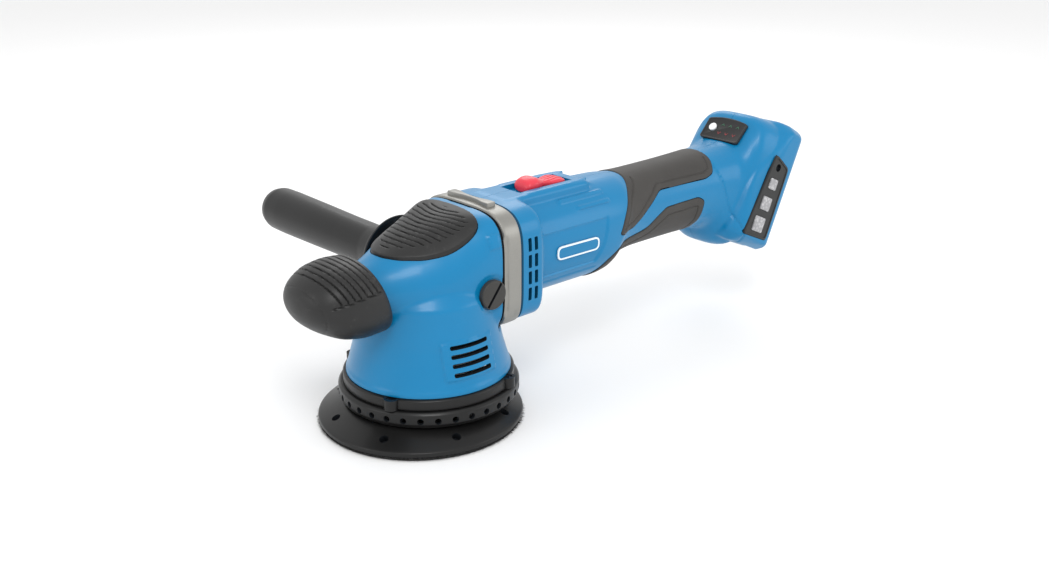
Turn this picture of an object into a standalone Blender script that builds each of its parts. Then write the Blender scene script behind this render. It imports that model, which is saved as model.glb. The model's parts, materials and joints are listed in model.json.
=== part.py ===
"""Cordless dual action polisher, bare tool without its battery.

Metres, +Z up. The origin is the centre of the output spindle's axis on the plane of the
hook-and-loop face. +X runs along the motor towards the battery end, +Y points to the
side that carries the auxiliary handle, and the spindle is the Z axis.
"""

import math

import bmesh
import bpy
from mathutils import Matrix, Vector

MM = 0.001
GAP = 0.3 * MM  # clearance between pieces that touch or nest
RUN = 0.35 * MM  # radial clearance round a turning shaft

# Backing plate and its eccentric drive
PLATE_RADIUS = 62.5 * MM
PLATE_BOTTOM = 1.9 * MM
PLATE_RIM_TOP = 4.6 * MM
PLATE_SHOULDER_RADIUS = 46 * MM
PLATE_TOP = 12.4 * MM
PLATE_HUB_RADIUS = 14 * MM
PLATE_HUB_TOP = 21 * MM
PLATE_HOLES = 8
PLATE_HOLE_RADIUS = 2.6 * MM
HOOK_MARGIN = 1 * MM  # bare rim left round the hook face
HOOK_RADIUS = PLATE_RADIUS - HOOK_MARGIN
ORBIT_RADIUS = 7.5 * MM  # half of the orbit that the plate makes
ORBIT_ANGLE = math.radians(187)
STUD_RADIUS = 4.8 * MM
ECC_BEARING_RADIUS = 11 * MM
WEIGHT_RADIUS = 34 * MM
WEIGHT_BOTTOM = 22.6 * MM
WEIGHT_TOP = 36 * MM

# Shroud under the gear housing
SHROUD_RADIUS = 55.3 * MM
SHROUD_WALL = 3 * MM
SHROUD_BOTTOM = 13.8 * MM
SHROUD_TOP = 23.5 * MM
SHROUD_HOLES = 30
SHROUD_HOLE_RADIUS = 1.5 * MM
SHROUD_HOLE_HEIGHT = 18.2 * MM
FLANGE_RADIUS = 52.2 * MM
FLANGE_TOP = 30.2 * MM
SHROUD_SCREWS = 4
SCREW_RADIUS = 1.6 * MM
SCREW_HEAD_RADIUS = 2.9 * MM

# Spindle, gears and motor
MOTOR_HEIGHT = 92 * MM
SPINDLE_RADIUS = 6 * MM
WEIGHT_CLEARANCE = 6 * MM  # from the counterweight up to the plate over it
BEARING_PLATE_BOTTOM = WEIGHT_TOP + WEIGHT_CLEARANCE
BEARING_PLATE_HEIGHT = 12.2 * MM
SPINDLE_TOP_RADIUS = 5 * MM
SPINDLE_TOP = 102.5 * MM
GEAR_TEETH = 25
PINION_TEETH = 10
GEAR_RADIUS = 20 * MM
GEAR_FACE = 0.36  # share of the cone's length that carries teeth
SHAFT_RADIUS = 4 * MM
SHAFT_FRONT = 11 * MM
SHAFT_BACK = 127.5 * MM
CASE_RADIUS = 24.5 * MM
CASE_WALL = 2.6 * MM
CASE_TOP = 106 * MM
CASE_BOTTOM = BEARING_PLATE_BOTTOM + BEARING_PLATE_HEIGHT + GAP
FRONT_BEARING_RADIUS = 11 * MM
FAN_RADIUS = 25 * MM
STATOR_RADIUS = 23.6 * MM
STATOR_BORE = 16 * MM
ROTOR_RADIUS = 15.3 * MM
STATOR_FRONT = 68 * MM
STATOR_BACK = 108 * MM

# Castings and mouldings
HOUSING_WALL = 2.8 * MM
RING_FRONT = 29 * MM
RING_BACK = 42 * MM
RING_BOTTOM = 55.2 * MM
RING_TOP = 126.8 * MM
RING_HALF_WIDTH = 38.6 * MM
RING_PROUD = 0.6 * MM
GRIP_DEPTH = 1.8 * MM
BADGE_DEPTH = 0.9 * MM
BASE_TILT = math.radians(25)
BASE_CENTRE = (301 * MM, 88 * MM)  # X, Z of the battery face's centre
BASE_HALF_HEIGHT = 46 * MM
BASE_HALF_WIDTH = 38 * MM

# Auxiliary handle and blanking plug
HANDLE_X = 18.3 * MM
HANDLE_Z = 81.9 * MM
SIDE_SEAT = RING_HALF_WIDTH - 1.2 * MM  # the face in the head's side that the plug seats on
HANDLE_STANDOFF = 9.6 * MM
HANDLE_START = SIDE_SEAT + HANDLE_STANDOFF
HANDLE_END = 201 * MM
HANDLE_RADIUS = 15.4 * MM
COLLAR_RADIUS = 27 * MM
THREAD_RADIUS = 5 * MM
PLUG_RADIUS = 9 * MM

# Switch
SWITCH_TRAVEL = 6 * MM
SWITCH_FRONT = 75 * MM
SWITCH_BACK = 110 * MM
SWITCH_HALF_WIDTH = 8 * MM

COLOURS = {
    "blue": ((0.01, 0.28, 0.72), 0.35, 0.0),
    "black": ((0.03, 0.03, 0.03), 0.6, 0.0),
    "rubber": ((0.06, 0.06, 0.055), 0.8, 0.0),
    "grey_metal": ((0.38, 0.37, 0.35), 0.45, 0.8),
    "steel": ((0.6, 0.6, 0.62), 0.3, 1.0),
    "copper": ((0.7, 0.35, 0.18), 0.35, 1.0),
    "red": ((0.75, 0.04, 0.07), 0.4, 0.0),
    "white": ((0.9, 0.9, 0.9), 0.4, 0.0),
    "lens": ((0.75, 0.75, 0.78), 0.1, 0.0),
    "hook": ((0.02, 0.02, 0.02), 0.95, 0.0),
}


# --------------------------------------------------------------------------- helpers


def material(name):
    """The named Principled material, made the first time it is asked for."""
    if name in bpy.data.materials:
        return bpy.data.materials[name]
    colour, roughness, metallic = COLOURS[name]
    made = bpy.data.materials.new(name)
    made.use_nodes = True
    shader = made.node_tree.nodes["Principled BSDF"]
    shader.inputs["Base Color"].default_value = (*colour, 1.0)
    shader.inputs["Roughness"].default_value = roughness
    shader.inputs["Metallic"].default_value = metallic
    return made


def place(obj, name, colour):
    """Names the object and puts it in the parts collection, or in the cutters with colour None."""
    obj.name = name
    for held_by in list(obj.users_collection):
        held_by.objects.unlink(obj)
    if colour is None:
        cutters.objects.link(obj)
        obj.hide_render = True
        obj.display_type = "WIRE"
    else:
        parts.objects.link(obj)
        obj.data.materials.clear()
        obj.data.materials.append(material(colour))
    return obj


def from_bmesh(name, bm, colour):
    bmesh.ops.recalc_face_normals(bm, faces=bm.faces)
    mesh = bpy.data.meshes.new(name)
    bm.to_mesh(mesh)
    bm.free()
    obj = bpy.data.objects.new(name, mesh)
    return place(obj, name, colour)


def axis_matrix(axis, at):
    """Carries local +Z onto the axis, with the local origin at the point."""
    turn = Vector((0, 0, 1)).rotation_difference(Vector(axis))
    return Matrix.Translation(Vector(at)) @ turn.to_matrix().to_4x4()


def cylinder(name, radius, low, high, colour=None, at=(0, 0, 0), axis=(0, 0, 1), top_radius=None, sides=28):
    """A cylinder or cone from low to high along the axis through the point."""
    bm = bmesh.new()
    bmesh.ops.create_cone(
        bm,
        cap_ends=True,
        segments=sides,
        radius1=radius,
        radius2=radius if top_radius is None else top_radius,
        depth=high - low,
        matrix=Matrix.Translation((0, 0, (low + high) / 2)),
    )
    obj = from_bmesh(name, bm, colour)
    obj.data.transform(axis_matrix(axis, at))
    return shade(obj)


def box(name, low, high, colour=None, bevel=0.0):
    """A box between two corners, with rounded edges if bevel is given."""
    bm = bmesh.new()
    size = Vector(high) - Vector(low)
    middle = (Vector(high) + Vector(low)) / 2
    bmesh.ops.create_cube(bm, size=1, matrix=Matrix.Translation(middle) @ Matrix.Diagonal((*size, 1)))
    obj = from_bmesh(name, bm, colour)
    if bevel:
        rounded = obj.modifiers.new("rounding", "BEVEL")
        rounded.width = bevel
        rounded.segments = 2
    return obj


def shade(obj, angle=35):
    obj.data.shade_smooth()
    obj.data.set_sharp_from_angle(angle=math.radians(angle))
    return obj


def turned(name, profile, colour=None, at=(0, 0, 0), axis=(0, 0, 1), steps=28, closed=False):
    """A solid of revolution. The profile's (radius, height) points run down the outer side."""
    mesh = bpy.data.meshes.new(name)
    points = [(radius, 0, height) for radius, height in profile]
    edges = [(i, i + 1) for i in range(len(points) - 1)]
    if closed:
        edges.append((len(points) - 1, 0))
    mesh.from_pydata(points, edges, [])
    obj = place(bpy.data.objects.new(name, mesh), name, colour)
    screw = obj.modifiers.new("turn", "SCREW")
    screw.steps = screw.render_steps = steps
    screw.use_merge_vertices = True
    screw.merge_threshold = 0.00001
    obj.matrix_world = axis_matrix(axis, at)
    return obj


def ring(name, inner, outer, low, high, colour=None, at=(0, 0, 0), axis=(0, 0, 1), steps=28):
    """A plain ring, such as a bearing."""
    profile = [(inner, high), (outer, high), (outer, low), (inner, low)]
    return turned(name, profile, colour, at, axis, steps, closed=True)


def section(top, bottom, half_width, squareness, count, grow=0.0):
    """Points of a rounded section between a top and a bottom point in the XZ plane.

    The squareness is the superellipse's power: 2 is an ellipse. A pair gives the upper half its own.
    """
    upper, lower = squareness if isinstance(squareness, tuple) else (squareness, squareness)
    top, bottom = Vector((top[0], 0, top[1])), Vector((bottom[0], 0, bottom[1]))
    up = (top - bottom).normalized()
    middle, half_height = (top + bottom) / 2, (top - bottom).length / 2 + grow
    ring_points = []
    for i in range(count):
        angle = 2 * math.pi * (i + 0.5) / count
        rise, out = math.cos(angle), math.sin(angle)
        power = 2 / (upper if rise > 0 else lower)
        rise = math.copysign(abs(rise) ** power, rise)
        out = math.copysign(abs(out) ** power, out)
        ring_points.append(middle + up * half_height * rise + Vector((0, (half_width + grow) * out, 0)))
    return ring_points


def loft(name, sections, colour=None, grow=0.0, count=28):
    """A solid through rounded sections, each (top, bottom, half width, squareness) in millimetres."""
    bm = bmesh.new()
    rings = []
    for top, bottom, half_width, squareness in sections:
        scaled = [(x * MM, z * MM) for x, z in (top, bottom)]
        points = section(*scaled, half_width * MM, squareness, count, grow)
        rings.append([bm.verts.new(point) for point in points])
    for first, second in zip(rings, rings[1:]):
        for i in range(count):
            j = (i + 1) % count
            bm.faces.new((first[i], first[j], second[j], second[i]))
    bm.faces.new(rings[0])
    bm.faces.new(rings[-1])
    return shade(from_bmesh(name, bm, colour))


def prism(name, outline, low, high, axis="Z", colour=None):
    """An outline raised from low to high along an axis. Along Y the outline's points are (X, Z)."""
    curve = bpy.data.curves.new(name, "CURVE")
    curve.dimensions = "2D"
    curve.fill_mode = "BOTH"
    curve.extrude = (high - low) / 2
    spline = curve.splines.new("POLY")
    spline.points.add(len(outline) - 1)
    spline.use_cyclic_u = True
    for point, (across, along) in zip(spline.points, outline):
        point.co = (across, along, 0, 1)
    flat = bpy.data.objects.new(name, curve)
    bpy.context.scene.collection.objects.link(flat)
    middle = (low + high) / 2
    if axis == "Y":
        flat.matrix_world = Matrix(((1, 0, 0, 0), (0, 0, -1, middle), (0, 1, 0, 0), (0, 0, 0, 1)))
    elif axis == "X":
        flat.matrix_world = Matrix(((0, 0, 1, middle), (1, 0, 0, 0), (0, 1, 0, 0), (0, 0, 0, 1)))
    else:
        flat.matrix_world = Matrix.Translation((0, 0, middle))
    bpy.context.view_layer.update()
    shape = flat.evaluated_get(bpy.context.evaluated_depsgraph_get())
    mesh = bpy.data.meshes.new_from_object(shape)
    mesh.transform(flat.matrix_world)
    bpy.data.objects.remove(flat)
    bm = bmesh.new()
    bm.from_mesh(mesh)
    bpy.data.meshes.remove(mesh)
    bmesh.ops.remove_doubles(bm, verts=bm.verts, dist=0.000001)
    return from_bmesh(name, bm, colour)


def inset(outline, distance):
    """The outline with every edge moved inwards, or outwards with a negative distance."""
    points = [Vector(p) for p in outline]
    area = sum(a.x * b.y - b.x * a.y for a, b in zip(points, points[1:] + points[:1]))
    side = 1 if area > 0 else -1
    moved = []
    for before, here, after in zip(points[-1:] + points[:-1], points, points[1:] + points[:1]):
        into, out = (here - before).normalized(), (after - here).normalized()
        normal = (Vector((-into.y, into.x)) + Vector((-out.y, out.x))).normalized() * side
        moved.append(here + normal * distance / max(0.3, normal.dot(Vector((-into.y, into.x)) * side)))
    return [(p.x, p.y) for p in moved]


def put_origin(point, *names):
    """Moves the named objects' origins to the point, as a joint's axis, without moving their shapes."""
    for name in names:
        obj = parts.objects[name]
        shift = obj.matrix_world.inverted() @ Vector(point)
        obj.data.transform(Matrix.Translation(-shift))
        obj.matrix_world = obj.matrix_world @ Matrix.Translation(shift)


def combine(obj, other, operation="DIFFERENCE"):
    change = obj.modifiers.new(operation.lower(), "BOOLEAN")
    change.operation = operation
    change.object = other
    change.solver = "EXACT"
    return obj


def cut(obj, *others):
    for other in others:
        combine(obj, other)
    return obj


def gear_outline(teeth, root, tip, fill=0.45):
    """A toothed outline with straight-sided teeth."""
    outline = []
    for tooth in range(teeth):
        for share, radius in ((-0.5, root), (-0.28, tip), (0.28, tip), (0.5, root)):
            angle = 2 * math.pi * (tooth + share * fill / 0.5) / teeth
            outline.append((radius * math.cos(angle), radius * math.sin(angle)))
    return outline


def bevel_teeth(name, teeth, pitch_radius, cone_length, bore, back, colour, phase):
    """A bevel gear about +Z with its cone's apex at the origin and its teeth facing +Z.

    cone_length is the apex's height above the pitch circle; back is the blank's depth there.
    """
    bm = bmesh.new()
    module = 2 * pitch_radius / teeth
    slope = math.hypot(pitch_radius, cone_length)
    normal = Vector((cone_length / slope, pitch_radius / slope))  # out of the pitch cone, as (r, z)
    steps = ((-0.5, -1.15), (-0.3, -1.15), (-0.14, 0.75), (0.14, 0.75), (0.3, -1.15))
    rings = []
    for tooth in range(teeth):
        for share, height in steps:
            angle = 2 * math.pi * (tooth + share + phase) / teeth
            outer = Vector((pitch_radius, -cone_length))
            inner = outer * (1 - GEAR_FACE)
            top_out = outer + normal * height * module
            top_in = inner + normal * height * module * (1 - GEAR_FACE)
            low_out = Vector((top_out.x, -cone_length - back))
            low_in = Vector((bore, -cone_length - back))
            hub = Vector((bore, min(top_in.y, inner.y - module)))
            direction = Vector((math.cos(angle), math.sin(angle)))
            corners = (low_in, low_out, top_out, top_in, hub)
            rings.append([bm.verts.new((*(direction * p.x), p.y)) for p in corners])
    for first, second in zip(rings, rings[1:] + rings[:1]):
        for i in range(len(first)):
            j = (i + 1) % len(first)
            bm.faces.new((first[i], first[j], second[j], second[i]))
    return from_bmesh(name, bm, colour)


# --------------------------------------------------------------------- plate and drive


def orbit_point(height=0.0, distance=ORBIT_RADIUS):
    return (distance * math.cos(ORBIT_ANGLE), distance * math.sin(ORBIT_ANGLE), height)


def make_backing_plate():
    """The conical plate, its hook face and the stud that it hangs on."""
    centre = orbit_point()
    profile = [
        (0, PLATE_HUB_TOP),
        (PLATE_HUB_RADIUS, PLATE_HUB_TOP),
        (PLATE_HUB_RADIUS + 1 * MM, PLATE_TOP),
        (PLATE_SHOULDER_RADIUS, PLATE_TOP),
        (PLATE_RADIUS - 1 * MM, PLATE_RIM_TOP + 0.8 * MM),
        (PLATE_RADIUS, PLATE_RIM_TOP),
        (PLATE_RADIUS, PLATE_BOTTOM + 0.6 * MM),
        (PLATE_RADIUS - 0.8 * MM, PLATE_BOTTOM),
        (0, PLATE_BOTTOM),
    ]
    plate = turned("backing_plate", profile, "black", centre, steps=48)
    middle = (PLATE_SHOULDER_RADIUS + PLATE_RADIUS) / 2
    fall, run = PLATE_TOP - PLATE_RIM_TOP, PLATE_RADIUS - PLATE_SHOULDER_RADIUS
    for i in range(PLATE_HOLES):
        angle = 2 * math.pi * (i + 0.5) / PLATE_HOLES + ORBIT_ANGLE
        out = Vector((math.cos(angle), math.sin(angle), 0))
        at = Vector(centre) + out * middle + Vector((0, 0, (PLATE_TOP + PLATE_RIM_TOP) / 2))
        normal = (out * fall + Vector((0, 0, run))).normalized()
        hole = cylinder(f"plate_hole_{i}", PLATE_HOLE_RADIUS, -5 * MM, 6 * MM, at=at, axis=normal, sides=12)
        cut(plate, hole)
    cut(plate, cylinder("stud_seat", STUD_RADIUS + GAP, 6 * MM, 30 * MM, at=centre, sides=24))
    cylinder("hook_face", HOOK_RADIUS, 0, PLATE_BOTTOM - GAP, "hook", at=centre, sides=48)
    stud_top = WEIGHT_TOP - 3 * MM
    cylinder("plate_stud", STUD_RADIUS, 6.4 * MM, stud_top, "steel", at=centre, sides=24)


def make_eccentric():
    """The counterweight that carries the plate's bearing off the spindle's axis."""
    centre = orbit_point()
    bearing_low = WEIGHT_BOTTOM + 0.4 * MM
    bearing_high = bearing_low + 9 * MM
    weight = cylinder("counterweight", 17 * MM, WEIGHT_BOTTOM, WEIGHT_TOP, "steel", at=centre)
    count = 20
    away = ORBIT_ANGLE + math.pi
    angles = [away + math.pi * (i / count - 0.5) for i in range(count + 1)]
    outline = [(WEIGHT_RADIUS * math.cos(a), WEIGHT_RADIUS * math.sin(a)) for a in angles]
    lobe = prism("weight_lobe", outline, WEIGHT_BOTTOM + 1 * MM, WEIGHT_TOP)
    combine(weight, lobe, "UNION")
    seat = cylinder("bearing_seat", ECC_BEARING_RADIUS + GAP, 0, bearing_high + GAP, at=centre)
    relief = cylinder("stud_relief", STUD_RADIUS + 1.5 * MM, 0, WEIGHT_TOP - 2 * MM, at=centre)
    bore = cylinder("spindle_bore", SPINDLE_RADIUS + GAP, WEIGHT_TOP - 1.6 * MM, WEIGHT_TOP + 5 * MM)
    cut(weight, seat, relief, bore)
    inner, outer = STUD_RADIUS + RUN, ECC_BEARING_RADIUS
    ring("eccentric_bearing", inner, outer, bearing_low, bearing_high, "steel", centre, steps=24)


def make_spindle():
    """The stepped output spindle with its bearings and bevel gear."""
    profile = [
        (0, SPINDLE_TOP),
        (SPINDLE_TOP_RADIUS, SPINDLE_TOP),
        (SPINDLE_TOP_RADIUS, CASE_BOTTOM + 2.5 * MM),
        (SPINDLE_RADIUS, CASE_BOTTOM + 1.5 * MM),
        (SPINDLE_RADIUS, WEIGHT_TOP - 1.2 * MM),
        (0, WEIGHT_TOP - 1.2 * MM),
    ]
    turned("output_spindle", profile, "steel", steps=24)
    low, high = BEARING_PLATE_BOTTOM + 2 * MM, BEARING_PLATE_BOTTOM + 11 * MM
    ring("lower_spindle_bearing", SPINDLE_RADIUS + RUN, 16 * MM, low, high, "steel", steps=24)
    ring("upper_spindle_bearing", SPINDLE_TOP_RADIUS + RUN, 9 * MM, 97 * MM, 103 * MM, "steel", steps=24)
    pinion_radius = GEAR_RADIUS * PINION_TEETH / GEAR_TEETH
    gear = bevel_teeth(
        "bevel_gear", GEAR_TEETH, GEAR_RADIUS, pinion_radius, SPINDLE_TOP_RADIUS + GAP, 6 * MM, "steel", 0.5
    )
    gear.data.transform(Matrix.Translation((0, 0, MOTOR_HEIGHT)))
    pinion = bevel_teeth(
        "pinion", PINION_TEETH, pinion_radius, GEAR_RADIUS, SHAFT_RADIUS * 0.8, 1 * MM, "steel", 0.0
    )
    # The pinion's teeth face the spindle, and one points straight down into the gear's gap.
    turn = Matrix(((0, 0, -1, 0), (0, 1, 0, 0), (1, 0, 0, 0), (0, 0, 0, 1)))
    flip = Matrix.Rotation(math.pi, 4, "X")
    pinion.data.transform(Matrix.Translation((0, 0, MOTOR_HEIGHT)) @ flip @ turn)


def make_gear_case():
    """The cast case round the bevel gears, and the plate that holds the lower bearing."""
    case = cylinder("gear_case", CASE_RADIUS, CASE_BOTTOM, CASE_TOP, "grey_metal")
    axis, at = (1, 0, 0), (0, 0, MOTOR_HEIGHT)
    snout = cylinder("case_snout", 15 * MM, 10 * MM, RING_FRONT - GAP, at=at, axis=axis)
    combine(case, snout, "UNION")
    cavity = cylinder("case_cavity", CASE_RADIUS - CASE_WALL, 0, CASE_TOP - 10.5 * MM)
    bearing = cylinder("case_top_seat", 9 * MM + GAP, 90 * MM, 103 * MM + GAP)
    motor_seat = cylinder("case_motor_seat", FRONT_BEARING_RADIUS + GAP, 0, 60 * MM, at=at, axis=axis)
    cut(case, cavity, bearing, motor_seat)
    low = BEARING_PLATE_BOTTOM
    plate = cylinder("bearing_plate", 40 * MM, low, CASE_BOTTOM - GAP, "grey_metal")
    cut(plate, cylinder("bearing_plate_bore", 16 * MM + GAP, low + 1.6 * MM, 70 * MM))
    cut(plate, cylinder("bearing_plate_lip", 12 * MM, 30 * MM, 60 * MM))
    corner = (RING_FRONT - GAP, -60 * MM, RING_BOTTOM - GAP)
    cut(plate, box("bearing_plate_flat", corner, (60 * MM, 60 * MM, 99 * MM)))


# --------------------------------------------------------------------------- shroud


def make_shroud():
    """The vented ring over the plate, the flange above it and its four screws."""
    profile = [
        (SHROUD_RADIUS - SHROUD_WALL - 4 * MM, SHROUD_TOP),
        (SHROUD_RADIUS - 1.5 * MM, SHROUD_TOP),
        (SHROUD_RADIUS, SHROUD_TOP - 1.6 * MM),
        (SHROUD_RADIUS, SHROUD_BOTTOM + 2.4 * MM),
        (SHROUD_RADIUS - 1.4 * MM, SHROUD_BOTTOM),
        (SHROUD_RADIUS - SHROUD_WALL, SHROUD_BOTTOM),
        (SHROUD_RADIUS - SHROUD_WALL, SHROUD_TOP - 2.4 * MM),
        (SHROUD_RADIUS - SHROUD_WALL - 4 * MM, SHROUD_TOP - 2.4 * MM),
    ]
    shroud = turned("vent_shroud", profile, "black", steps=48, closed=True)
    for i in range(SHROUD_HOLES):
        angle = 2 * math.pi * (i + 0.43) / SHROUD_HOLES
        out = (math.cos(angle), math.sin(angle), 0)
        hole = cylinder(
            f"shroud_hole_{i}", SHROUD_HOLE_RADIUS, SHROUD_RADIUS - 6 * MM, SHROUD_RADIUS + 4 * MM,
            at=(0, 0, SHROUD_HOLE_HEIGHT), axis=out, sides=6,
        )
        cut(shroud, hole)
    low = SHROUD_TOP + GAP
    flange = ring("shroud_flange", 43 * MM, FLANGE_RADIUS, low, FLANGE_TOP, "black", steps=48)
    for i in range(SHROUD_SCREWS):
        angle = math.radians(72.5) + 2 * math.pi * (i + 0.5) / SHROUD_SCREWS
        at = Vector((math.cos(angle), math.sin(angle), 0)) * (FLANGE_RADIUS - 0.7 * MM)
        lug = cylinder(f"screw_lug_{i}", 4.6 * MM, low, FLANGE_TOP - 0.8 * MM, at=at, sides=20)
        combine(flange, lug, "UNION")
        head_low = FLANGE_TOP - 2.6 * MM
        pocket = cylinder(f"screw_pocket_{i}", SCREW_HEAD_RADIUS + GAP, head_low, 40 * MM, at=at, sides=20)
        shank = cylinder(f"screw_way_{i}", SCREW_RADIUS + GAP, 0, 40 * MM, at=at, sides=16)
        cut(flange, pocket, shank)
        cut(shroud, shank)
        profile = [
            (0, head_low + 2 * MM),
            (SCREW_HEAD_RADIUS * 0.8, head_low + 2 * MM),
            (SCREW_HEAD_RADIUS, head_low + 1.3 * MM),
            (SCREW_HEAD_RADIUS, head_low + GAP),
            (SCREW_RADIUS, head_low + GAP),
            (SCREW_RADIUS, SHROUD_TOP - 2 * MM),
            (0, SHROUD_TOP - 2 * MM),
        ]
        turned(f"shroud_screw_{i + 1}", profile, "steel", at, steps=16)


# -------------------------------------------------------------------- gear housing

# Sections of the head from the nose's neck back to the ring: top, bottom, half width, squareness
HEAD_SECTIONS = [
    ((x, top), (x, bottom), half_width, squareness)
    for x, top, bottom, half_width, squareness in (
        (-52, 104, 74, 17, 2.0),
        (-43, 106, 72, 19, 2.0),
        (-33, 109.5, 68, 23.5, 2.0),
        (-21, 114.5, 64, 30, (2.0, 2.4)),
        (-7, 119.6, 60, 35, (2.1, 2.9)),
        (8, 123.8, 57, 37.6, (2.6, 3.6)),
        (20, 126, 55.6, 38.4, (3.6, 4.6)),
        (
            (RING_FRONT - GAP) / MM,
            RING_TOP / MM - 0.2,
            RING_BOTTOM / MM,
            RING_HALF_WIDTH / MM,
            (4.3, 5.5),
        ),
    )
]
NOSE_SECTIONS = [
    ((x + lean, top), (x, bottom), half_width, squareness)
    for x, lean, top, bottom, half_width, squareness in (
        (-41, -10, 108.5, 70, 22, 2.1),
        (-44, -10, 110.5, 67, 25.5, 2.2),
        (-53, -7, 112, 65.5, 28.2, 2.3),
        (-66, -4, 111.6, 65.5, 28.6, 2.3),
        (-78, -1, 108.5, 67.5, 26.4, 2.2),
        (-86, 1, 103.5, 71.5, 21, 2.1),
        (-90.5, 2, 97, 78, 12, 2.0),
    )
]
BELL_PROFILE = ((41.5, 78), (42.2, 68), (43.6, 57), (45.6, 47), (48.1, 38), (49.7, 32), (49.7, 30.5))
TOP_GRIP_OUTLINE = (
    (17.5, -30), (5, -30.4), (-8, -27.6), (-20, -21.8), (-29.5, -13.5), (-34.6, -6), (-35.6, 0),
    (-34.6, 6), (-29.5, 13.5), (-20, 21.8), (-8, 27.6), (5, 30.4), (17.5, 30),
    (20.4, 18), (21.4, 0), (20.4, -18),
)


def bell(name, shrink, top, low):
    """The flared skirt round the spindle, from the flange up."""
    rows = [(radius * MM - shrink, height * MM) for radius, height in BELL_PROFILE]
    rows[0] = (rows[0][0], top)
    rows[-1] = (rows[-1][0], low)
    return turned(name, [(0, top), *rows, (0, low)], steps=48)


def make_gear_housing():
    """The blue head: a bell over the plate joined to a block that meets the metal ring."""
    housing = loft("gear_housing", HEAD_SECTIONS, "blue")
    skirt = bell("bell_outside", 0, 85 * MM, BELL_PROFILE[-1][1] * MM)
    corner = (RING_FRONT - GAP, -60 * MM, RING_BOTTOM - 2 * GAP)
    behind = box("skirt_step", corner, (60 * MM, 60 * MM, 99 * MM))
    cut(skirt, behind)
    combine(housing, skirt, "UNION")
    side = (0, 1, 0)
    at = (HANDLE_X, 0, HANDLE_Z)
    boss = cylinder("handle_boss", 16 * MM, 20 * MM, HANDLE_START - GAP, at=at, axis=side)
    cut(boss, box("boss_flat", (RING_FRONT - GAP, 0, 50 * MM), (60 * MM, 60 * MM, 110 * MM)))
    combine(housing, boss, "UNION")
    inside = [s for s in HEAD_SECTIONS if s[0][0] > -35]
    last = inside[-1]
    beyond = ((last[0][0] + 5, last[0][1]), (last[1][0] + 5, last[1][1]), last[2], last[3])
    cavity = loft("head_cavity", [*inside, beyond], grow=-HOUSING_WALL)
    cut(housing, cavity, bell("bell_inside", HOUSING_WALL, 84 * MM, 20 * MM))
    for name, sign in (("boss_tube_plug", -1), ("boss_tube_handle", 1)):
        low, high = SIDE_SEAT - 10.4 * MM, SIDE_SEAT - 0.4 * MM
        tube = cylinder(name, 9 * MM, low, high, at=at, axis=(0, sign, 0))
        combine(housing, tube, "UNION")
    for name, sign in (("plug_way", -1), ("stud_way", 1)):
        way = cylinder(name, THREAD_RADIUS + GAP, 20 * MM, 60 * MM, at=at, axis=(0, sign, 0), sides=24)
        cut(housing, way)
    plug_seat = cylinder("plug_seat", PLUG_RADIUS + 1 * MM, SIDE_SEAT, 60 * MM, at=at, axis=(0, -1, 0))
    cut(housing, plug_seat)
    for i in range(4):
        for sign, side_name in ((-1, "left"), (1, "right")):
            low = (-19 * MM, min(sign * 30, sign * 60) * MM, (42 + 4.4 * i) * MM)
            high = (4 * MM, max(sign * 30, sign * 60) * MM, (44.2 + 4.4 * i) * MM)
            cut(housing, box(f"head_vent_{side_name}_{i}", low, high))
    recess = prism("top_grip_recess", scaled(TOP_GRIP_OUTLINE, -GAP), 90 * MM, 140 * MM)
    combine(recess, loft("top_grip_bed", HEAD_SECTIONS, grow=-1.2 * MM))
    cut(housing, recess)
    shade(housing)


def scaled(outline, shrink=0.0):
    """An outline given in millimetres, in metres, moved inwards by shrink."""
    return inset([(a * MM, b * MM) for a, b in outline], shrink)


def make_rubber_grips():
    """The ribbed palm pad on the head and the soft nose."""
    pad = loft("top_grip", HEAD_SECTIONS, "rubber", grow=1.6 * MM)
    cut(pad, loft("top_grip_under", HEAD_SECTIONS, grow=-1.2 * MM + GAP))
    combine(pad, prism("top_grip_outline", scaled(TOP_GRIP_OUTLINE), 90 * MM, 140 * MM), "INTERSECT")
    nose = loft("nose_grip", NOSE_SECTIONS, "rubber")
    tip = HEAD_SECTIONS[0]
    ahead = tuple((x - 0.6, z) for x, z in tip[:2])
    cut(nose, loft("nose_socket", [(*ahead, *tip[2:]), *HEAD_SECTIONS], grow=1.5 * GAP))
    cut(nose, bell("nose_clearance", -2 * GAP, 86 * MM, 20 * MM))


def make_ring():
    """The metal ring between the head and the motor housing, with its bridge on top."""
    sections = flange_sections(RING_FRONT, RING_BACK - GAP)
    casting = loft("flange_ring", sections, "grey_metal", grow=RING_PROUD)
    cut(casting, box("ring_sole", (0, -60 * MM, 40 * MM), (60 * MM, 60 * MM, RING_BOTTOM)))
    axis, at = (1, 0, 0), (0, 0, MOTOR_HEIGHT)
    cut(casting, cylinder("ring_bore", 25 * MM, 20 * MM, 50 * MM, at=at, axis=axis))
    x = (RING_FRONT + RING_BACK) / 2
    top = RING_TOP + RING_PROUD
    bridge = box("ring_bridge", (x - 2 * MM, -19 * MM, top - 5 * MM), (x + 2 * MM, 19 * MM, top + 1.8 * MM))
    combine(casting, bridge, "UNION")
    return casting


# ------------------------------------------------------------------- motor housing

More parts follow.
